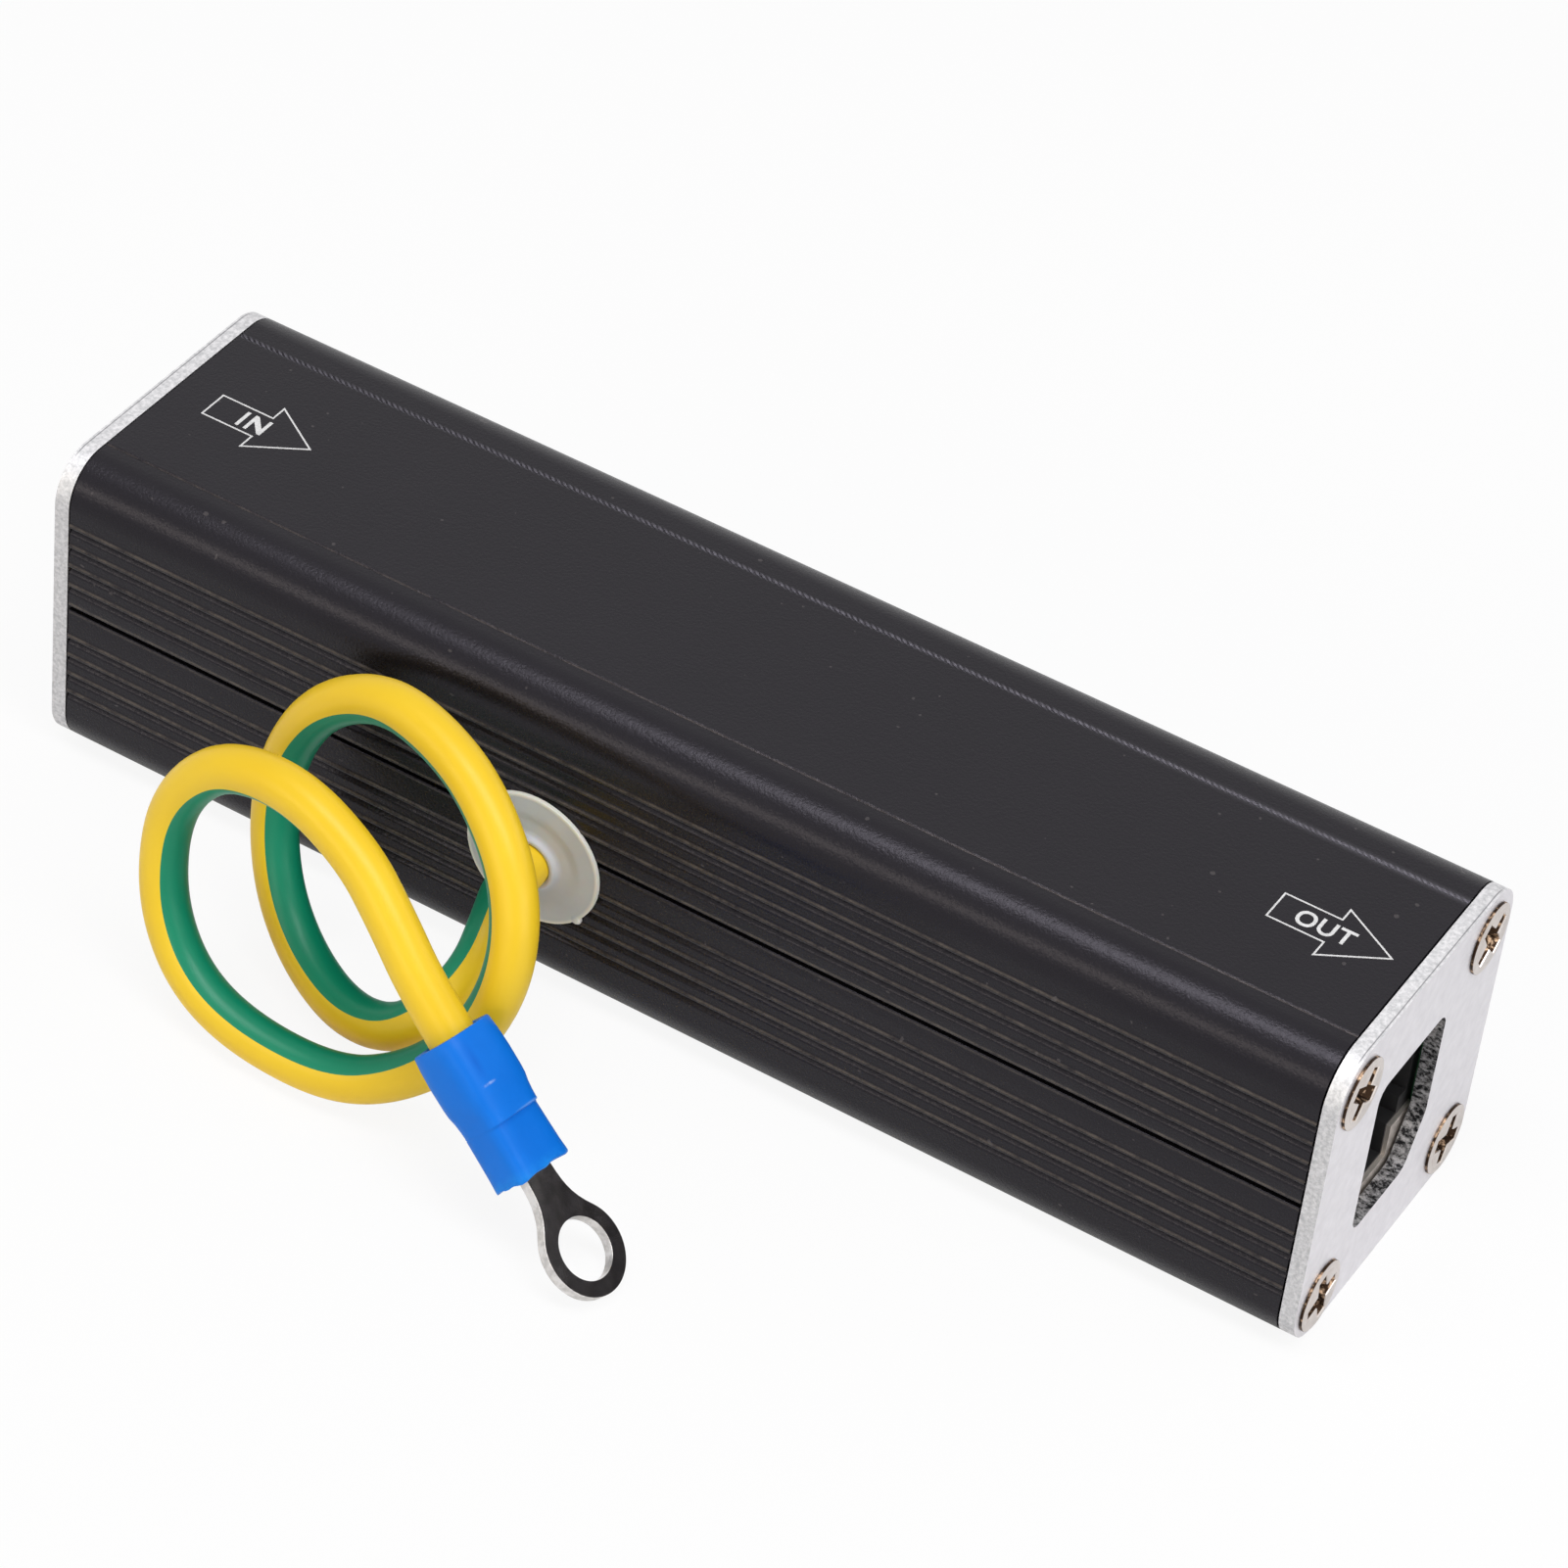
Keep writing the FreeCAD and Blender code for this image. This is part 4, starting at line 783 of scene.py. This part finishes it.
def makePlate(name, end):
    front, rear, below, above = plate["window"]
    cutAcross, cutUp = plate["cut"]
    corners = [(front, below), (rear - cutAcross, below), (rear, below + cutUp), (rear, above),
               (front, above)]
    loops = [plateOutline(), roundedCorners(corners, plate["windowRound"])]
    inner, outer = shell["right"], shell["right"] + plate["thick"]
    form = Form()
    rings = {}
    for level, hole in ((inner, plate["hole"]), (outer, plate["holeFace"])):
        holes = [circle(a, b, hole) for a, b in screwPlaces()]
        rings[level] = [form.ring([(end * level, a, b) for a, b in loop]) for loop in loops + holes]
        form.cap(rings[level])
    form.band(rings[inner][0], rings[outer][0])
    form.band(rings[inner][1], rings[outer][1])
    for (a, b), back, face in zip(screwPlaces(), rings[inner][2:], rings[outer][2:]):
        level = end * (outer - plate["holeDeep"])
        waist = form.ring([(level, y, z) for y, z in circle(a, b, plate["hole"])])
        form.band(back, waist)
        form.band(waist, face)
    return bevel(form.piece(name), plate["edge"], 3, 50)


metal = plateMetal()
for name, node, end in (("out_plate", "end_plate_out", 1), ("in_plate", "end_plate_in", -1)):
    finishPiece(makePlate(name, end), "end_plate", [metal], node)
print("end plates made")


# Screws: head and step by their radii, the recess by its span and wing, its turns in degrees

screw = dict(head=2.66, rise=0.3, shank=1.25, length=8.0, seat=2.4, step=2.15, span=4.0, wing=1.3, deep=1.2,
             taper=0.8, turns=(12, 55, -20, 38), edge=0.04)


def makeScrews(name, end):
    face = shell["right"] + plate["thick"]
    rise, head, seat, shank, step = (screw[size] for size in ("rise", "head", "seat", "shank", "step"))
    profile = [(rise, 0.35), (rise - 0.005, 1.2), (rise - 0.015, step - 0.06), (rise - 0.05, step),
               (rise - 0.04, step + 0.08), (rise - 0.06, head - 0.08), (rise - 0.1, head), (0.03, head),
               (0.01, head - 0.04), (0.005, seat), (-(seat - shank), shank), (-screw["length"], shank)]
    form = Form()
    for a, b in screwPlaces():
        lathe(form, profile, lambda along, y, z: Vector((end * (face + along), a + y, b + z)), 56, True)
    thing = form.piece(name, 30)
    levels = ((rise + 0.2, 1.08, 1.25), (rise, 1.0, 1.0), (rise - screw["deep"], 0.42, 0.55))
    cross = Form()
    for (a, b), spin in zip(screwPlaces(), screw["turns"]):
        turn = Matrix.Rotation(math.radians(spin), 2)
        rings = []
        for along, span, wing in levels:  # how far out, and the recess's share of its span and wing
            reach, root = screw["span"] / 2 * span, screw["wing"] / 2 * wing
            tip = root * screw["taper"]
            corners = [(root, root), (reach, tip), (reach, -tip), (root, -root), (tip, -reach),
                       (-tip, -reach), (-root, -root), (-reach, -tip), (-reach, tip), (-root, root),
                       (-tip, reach), (tip, reach)]
            places = [turn @ Vector(corner) for corner in corners]
            rings.append(cross.ring([(end * (face + along), a + p.x, b + p.y) for p in places]))
        cross.tube(rings)
    cutWith(thing, cross.piece("cross"), 30)
    return bevel(thing, screw["edge"], 2, 40)


nickel = screwMetal()
for name, node, end in (("out_screws", "end_screws_out", 1), ("in_screws", "end_screws_in", -1)):
    finishPiece(makeScrews(name, end), "screw", [nickel], node)
print("screws made")


# Arrows and words on the top, thin printed slabs; a word's rows are its letter, left edge and width

printing = dict(line=0.13, thick=0.02, mitre=0.35)
arrowIn = dict(left=-46.7, neck=-42.4, tip=-38.3, shaftTop=1.1, shaftLow=-1.5, barbTop=2.5, barbLow=-2.9,
               middle=-0.2, word=(("I", -44.2, 0.4), ("N", -43.5, 1.45)), base=-1.1, tall=1.75, stroke=0.27)
arrowOut = dict(left=39.55, neck=43.85, tip=48.25, shaftTop=0.9, shaftLow=-1.8, barbTop=2.1, barbLow=-3.3,
                middle=-0.5, word=(("O", 41.16, 1.44), ("U", 42.8, 1.23), ("T", 44.2, 1.23)), base=-1.28,
                tall=1.56, stroke=0.26)


def ribbon(points, width):  # the two edges of a closed stroke, mitred at its corners
    sides = ([], [])
    for index, point in enumerate(points):
        here = Vector(point)
        arriving = (here - Vector(points[index - 1])).normalized()
        leaving = (Vector(points[(index + 1) % len(points)]) - here).normalized()
        normals = [Vector((-way.y, way.x)) for way in (arriving, leaving)]
        normal = (normals[0] + normals[1]).normalized()
        reach = width / 2 / max(printing["mitre"], normal.dot(normals[0]))
        sides[0].append(tuple(here + normal * reach))
        sides[1].append(tuple(here - normal * reach))
    return sides


def arrowLoops(arrow):
    left, neck, tip = arrow["left"], arrow["neck"], arrow["tip"]
    corners = [(left, arrow["shaftTop"]), (neck, arrow["shaftTop"]), (neck, arrow["barbTop"]),
               (tip, arrow["middle"]), (neck, arrow["barbLow"]), (neck, arrow["shaftLow"]),
               (left, arrow["shaftLow"])]
    return list(ribbon(corners, printing["line"]))


def letterLoops(kind, left, wide, base, tall, stroke):
    right, top, middle = left + wide, base + tall, left + wide / 2
    if kind == "I":
        return [[(left, base), (left + stroke, base), (left + stroke, top), (left, top)]]
    if kind == "T":
        bar, half = top - stroke, stroke / 2
        return [[(left, bar), (middle - half, bar), (middle - half, base), (middle + half, base),
                 (middle + half, bar), (right, bar), (right, top), (left, top)]]
    if kind == "N":
        low, high = base + 0.38 * tall, base + 0.62 * tall  # where the slant meets the posts
        one, two = left + stroke, right - stroke
        return [[(left, base), (one, base), (one, high), (two, base), (right, base), (right, top), (two, top),
                 (two, low), (one, top), (left, top)]]
    if kind == "O":
        ovals = (squircle(wide, tall, 2.3, 36), squircle(wide - 2 * stroke, tall - 2 * stroke, 2.2, 36))
        return [[(middle + a, base + tall / 2 + b) for a, b in oval] for oval in ovals]
    radius = wide / 2  # U
    outer = arc(middle, base + radius, radius, 180, 360, 18)
    inner = arc(middle, base + radius, radius - stroke, 360, 180, 18)
    return [[(left, top)] + outer + [(right, top), (right - stroke, top)] + inner + [(left + stroke, top)]]


def wordLoops(arrow):
    return [letterLoops(kind, left, wide, arrow["base"], arrow["tall"], arrow["stroke"])
            for kind, left, wide in arrow["word"]]


def printed(name, shapes, ink):
    form = Form()
    level, thick = shell["height"], printing["thick"]
    for loops in shapes:
        form.prism(loops, lambda a, b, c: Vector((a, b, c)), level - thick, level + thick)
    finishPiece(form.piece(name), "shell", [ink])


ink = inkWhite()
for name, arrow in (("arrow_in", arrowIn), ("arrow_out", arrowOut)):
    printed(name, [arrowLoops(arrow)], ink)
for name, arrow in (("word_in", arrowIn), ("word_out", arrowOut)):
    printed(name, wordLoops(arrow), ink)
print("arrows printed")


# Pieces inside, kept as they are and given their finish

innerFinish = {
    "jack_plastic": plain("jack_black", (0.012, 0.012, 0.013), (0.022, 0.021, 0.021), 0.45),
    "jack_shield": plain("jack_steel", (0.70, 0.64, 0.58), (0.84, 0.78, 0.72), 0.42, 1.0),
    "contact": plain("contact_gold", (0.80, 0.55, 0.22), (0.88, 0.66, 0.32), 0.2, 1.0),
    "board": plain("board_green", (0.012, 0.10, 0.035), (0.02, 0.14, 0.05), 0.35),
    "gas_tube": plain("tube_ceramic", (0.62, 0.60, 0.56), (0.75, 0.73, 0.70), 0.3),
    "moulded_package": plain("package_black", (0.015, 0.015, 0.016), (0.03, 0.03, 0.03), 0.5),
    "chip_resistor": plain("chip_black", (0.02, 0.02, 0.022), (0.05, 0.05, 0.05), 0.4),
    "copper": plain("strand_copper", (0.70, 0.32, 0.18), (0.82, 0.45, 0.28), 0.3, 1.0),
}
innerPieces = {
    "jack_out_housing": "jack_plastic", "jack_in_housing": "jack_plastic",
    "jack_out_shield": "jack_shield", "jack_in_shield": "jack_shield",
    "jack_out_contacts": "contact", "jack_in_contacts": "contact", "circuit_board": "board",
    "gas_tube_1": "gas_tube", "gas_tube_2": "gas_tube", "gas_tube_3": "gas_tube", "gas_tube_4": "gas_tube",
    "diode_array_1": "moulded_package", "diode_array_2": "moulded_package",
    "series_resistors": "chip_resistor", "core_board_end": "copper", "core_terminal_end": "copper",
}
innerEdge = 0.03
for name, kind in innerPieces.items():
    thing = nodes[name]
    thing.data.materials.clear()
    thing.data.materials.append(innerFinish[kind])
    bevel(thing, innerEdge, 1, 40)
print("inner pieces dressed")


# Floor, world and lamps, in metres and watts

studio = dict(floor=3.0, world=0.22, glow=0.9, mirrored=0.4)
lamps = {  # place, what it looks at, size, power, colour
    "key": ((0.10, -0.11, 0.62), (0.10, -0.01, 0.01), (0.7, 0.2), 2.9, (0.97, 0.97, 1.0)),
    "low_front": ((-0.2, -0.56, 0.27), (-0.1, 0, 0.01), (0.9, 0.1), 1.2, (1.0, 0.93, 0.79)),
    "end_fill": ((0.6, -0.1, 0.25), (0.03, 0, 0.01), (0.4, 0.3), 0.9, (1, 1, 1)),
    "back_fill": ((0.45, 0.55, 0.3), (0, 0, 0.01), (0.5, 0.3), 0.5, (1, 1, 1)),
}


def makeFloor():
    half = studio["floor"]
    mesh = bpy.data.meshes.new("floor")
    mesh.from_pydata([(-half, -half, 0), (half, -half, 0), (half, half, 0), (-half, half, 0)], [],
                     [(0, 1, 2, 3)])
    floor = bpy.data.objects.new("floor", mesh)
    scene.collection.objects.link(floor)
    look = Look("floor_white")
    look.colour(look.mix(look.noise(0.02, 2, 0.5), (0.86, 0.86, 0.86, 1), (0.87, 0.87, 0.87, 1)))
    look.rough(0.9)
    path, glossy, through = look.rays()
    glow = look.node("ShaderNodeEmission", {}, {"Color": (1, 1, 1, 1), "Strength": 1.0})
    share = look.math("MINIMUM", path + glossy * studio["mirrored"] + through, 1.0) * studio["glow"]
    both = look.node("ShaderNodeMixShader", {}, {0: share, 1: Link(look, look.shader.outputs[0]), 2: glow})
    look.feed(look.tree.nodes["Material Output"].inputs["Surface"], both)
    mesh.materials.append(look.material)


def makeWorld():
    scene.world = bpy.data.worlds.new("studio")
    scene.world.use_nodes = True
    graph = Graph(scene.world.node_tree)
    path, glossy, through = graph.rays()
    seen = graph.math("MAXIMUM", graph.math("MAXIMUM", path, through), glossy)
    background = graph.tree.nodes["Background"]
    graph.feed(background.inputs["Color"], (1, 1, 1, 1))
    graph.feed(background.inputs["Strength"], graph.ramp(seen, 0, 1, studio["world"], 1.0))


def makeLamp(name, place, aim, size, power, colour):
    data = bpy.data.lights.new(name, "AREA")
    data.shape = "RECTANGLE"
    data.size, data.size_y = size
    data.energy = power
    data.color = colour
    thing = bpy.data.objects.new(name, data)
    scene.collection.objects.link(thing)
    thing.location = place
    thing.rotation_euler = (Vector(aim) - Vector(place)).to_track_quat("-Z", "Y").to_euler()
    thing.visible_camera = False


makeFloor()
makeWorld()
for name, row in lamps.items():
    makeLamp(name, *row)
scene.view_settings.view_transform = "Standard"
print("studio lit")
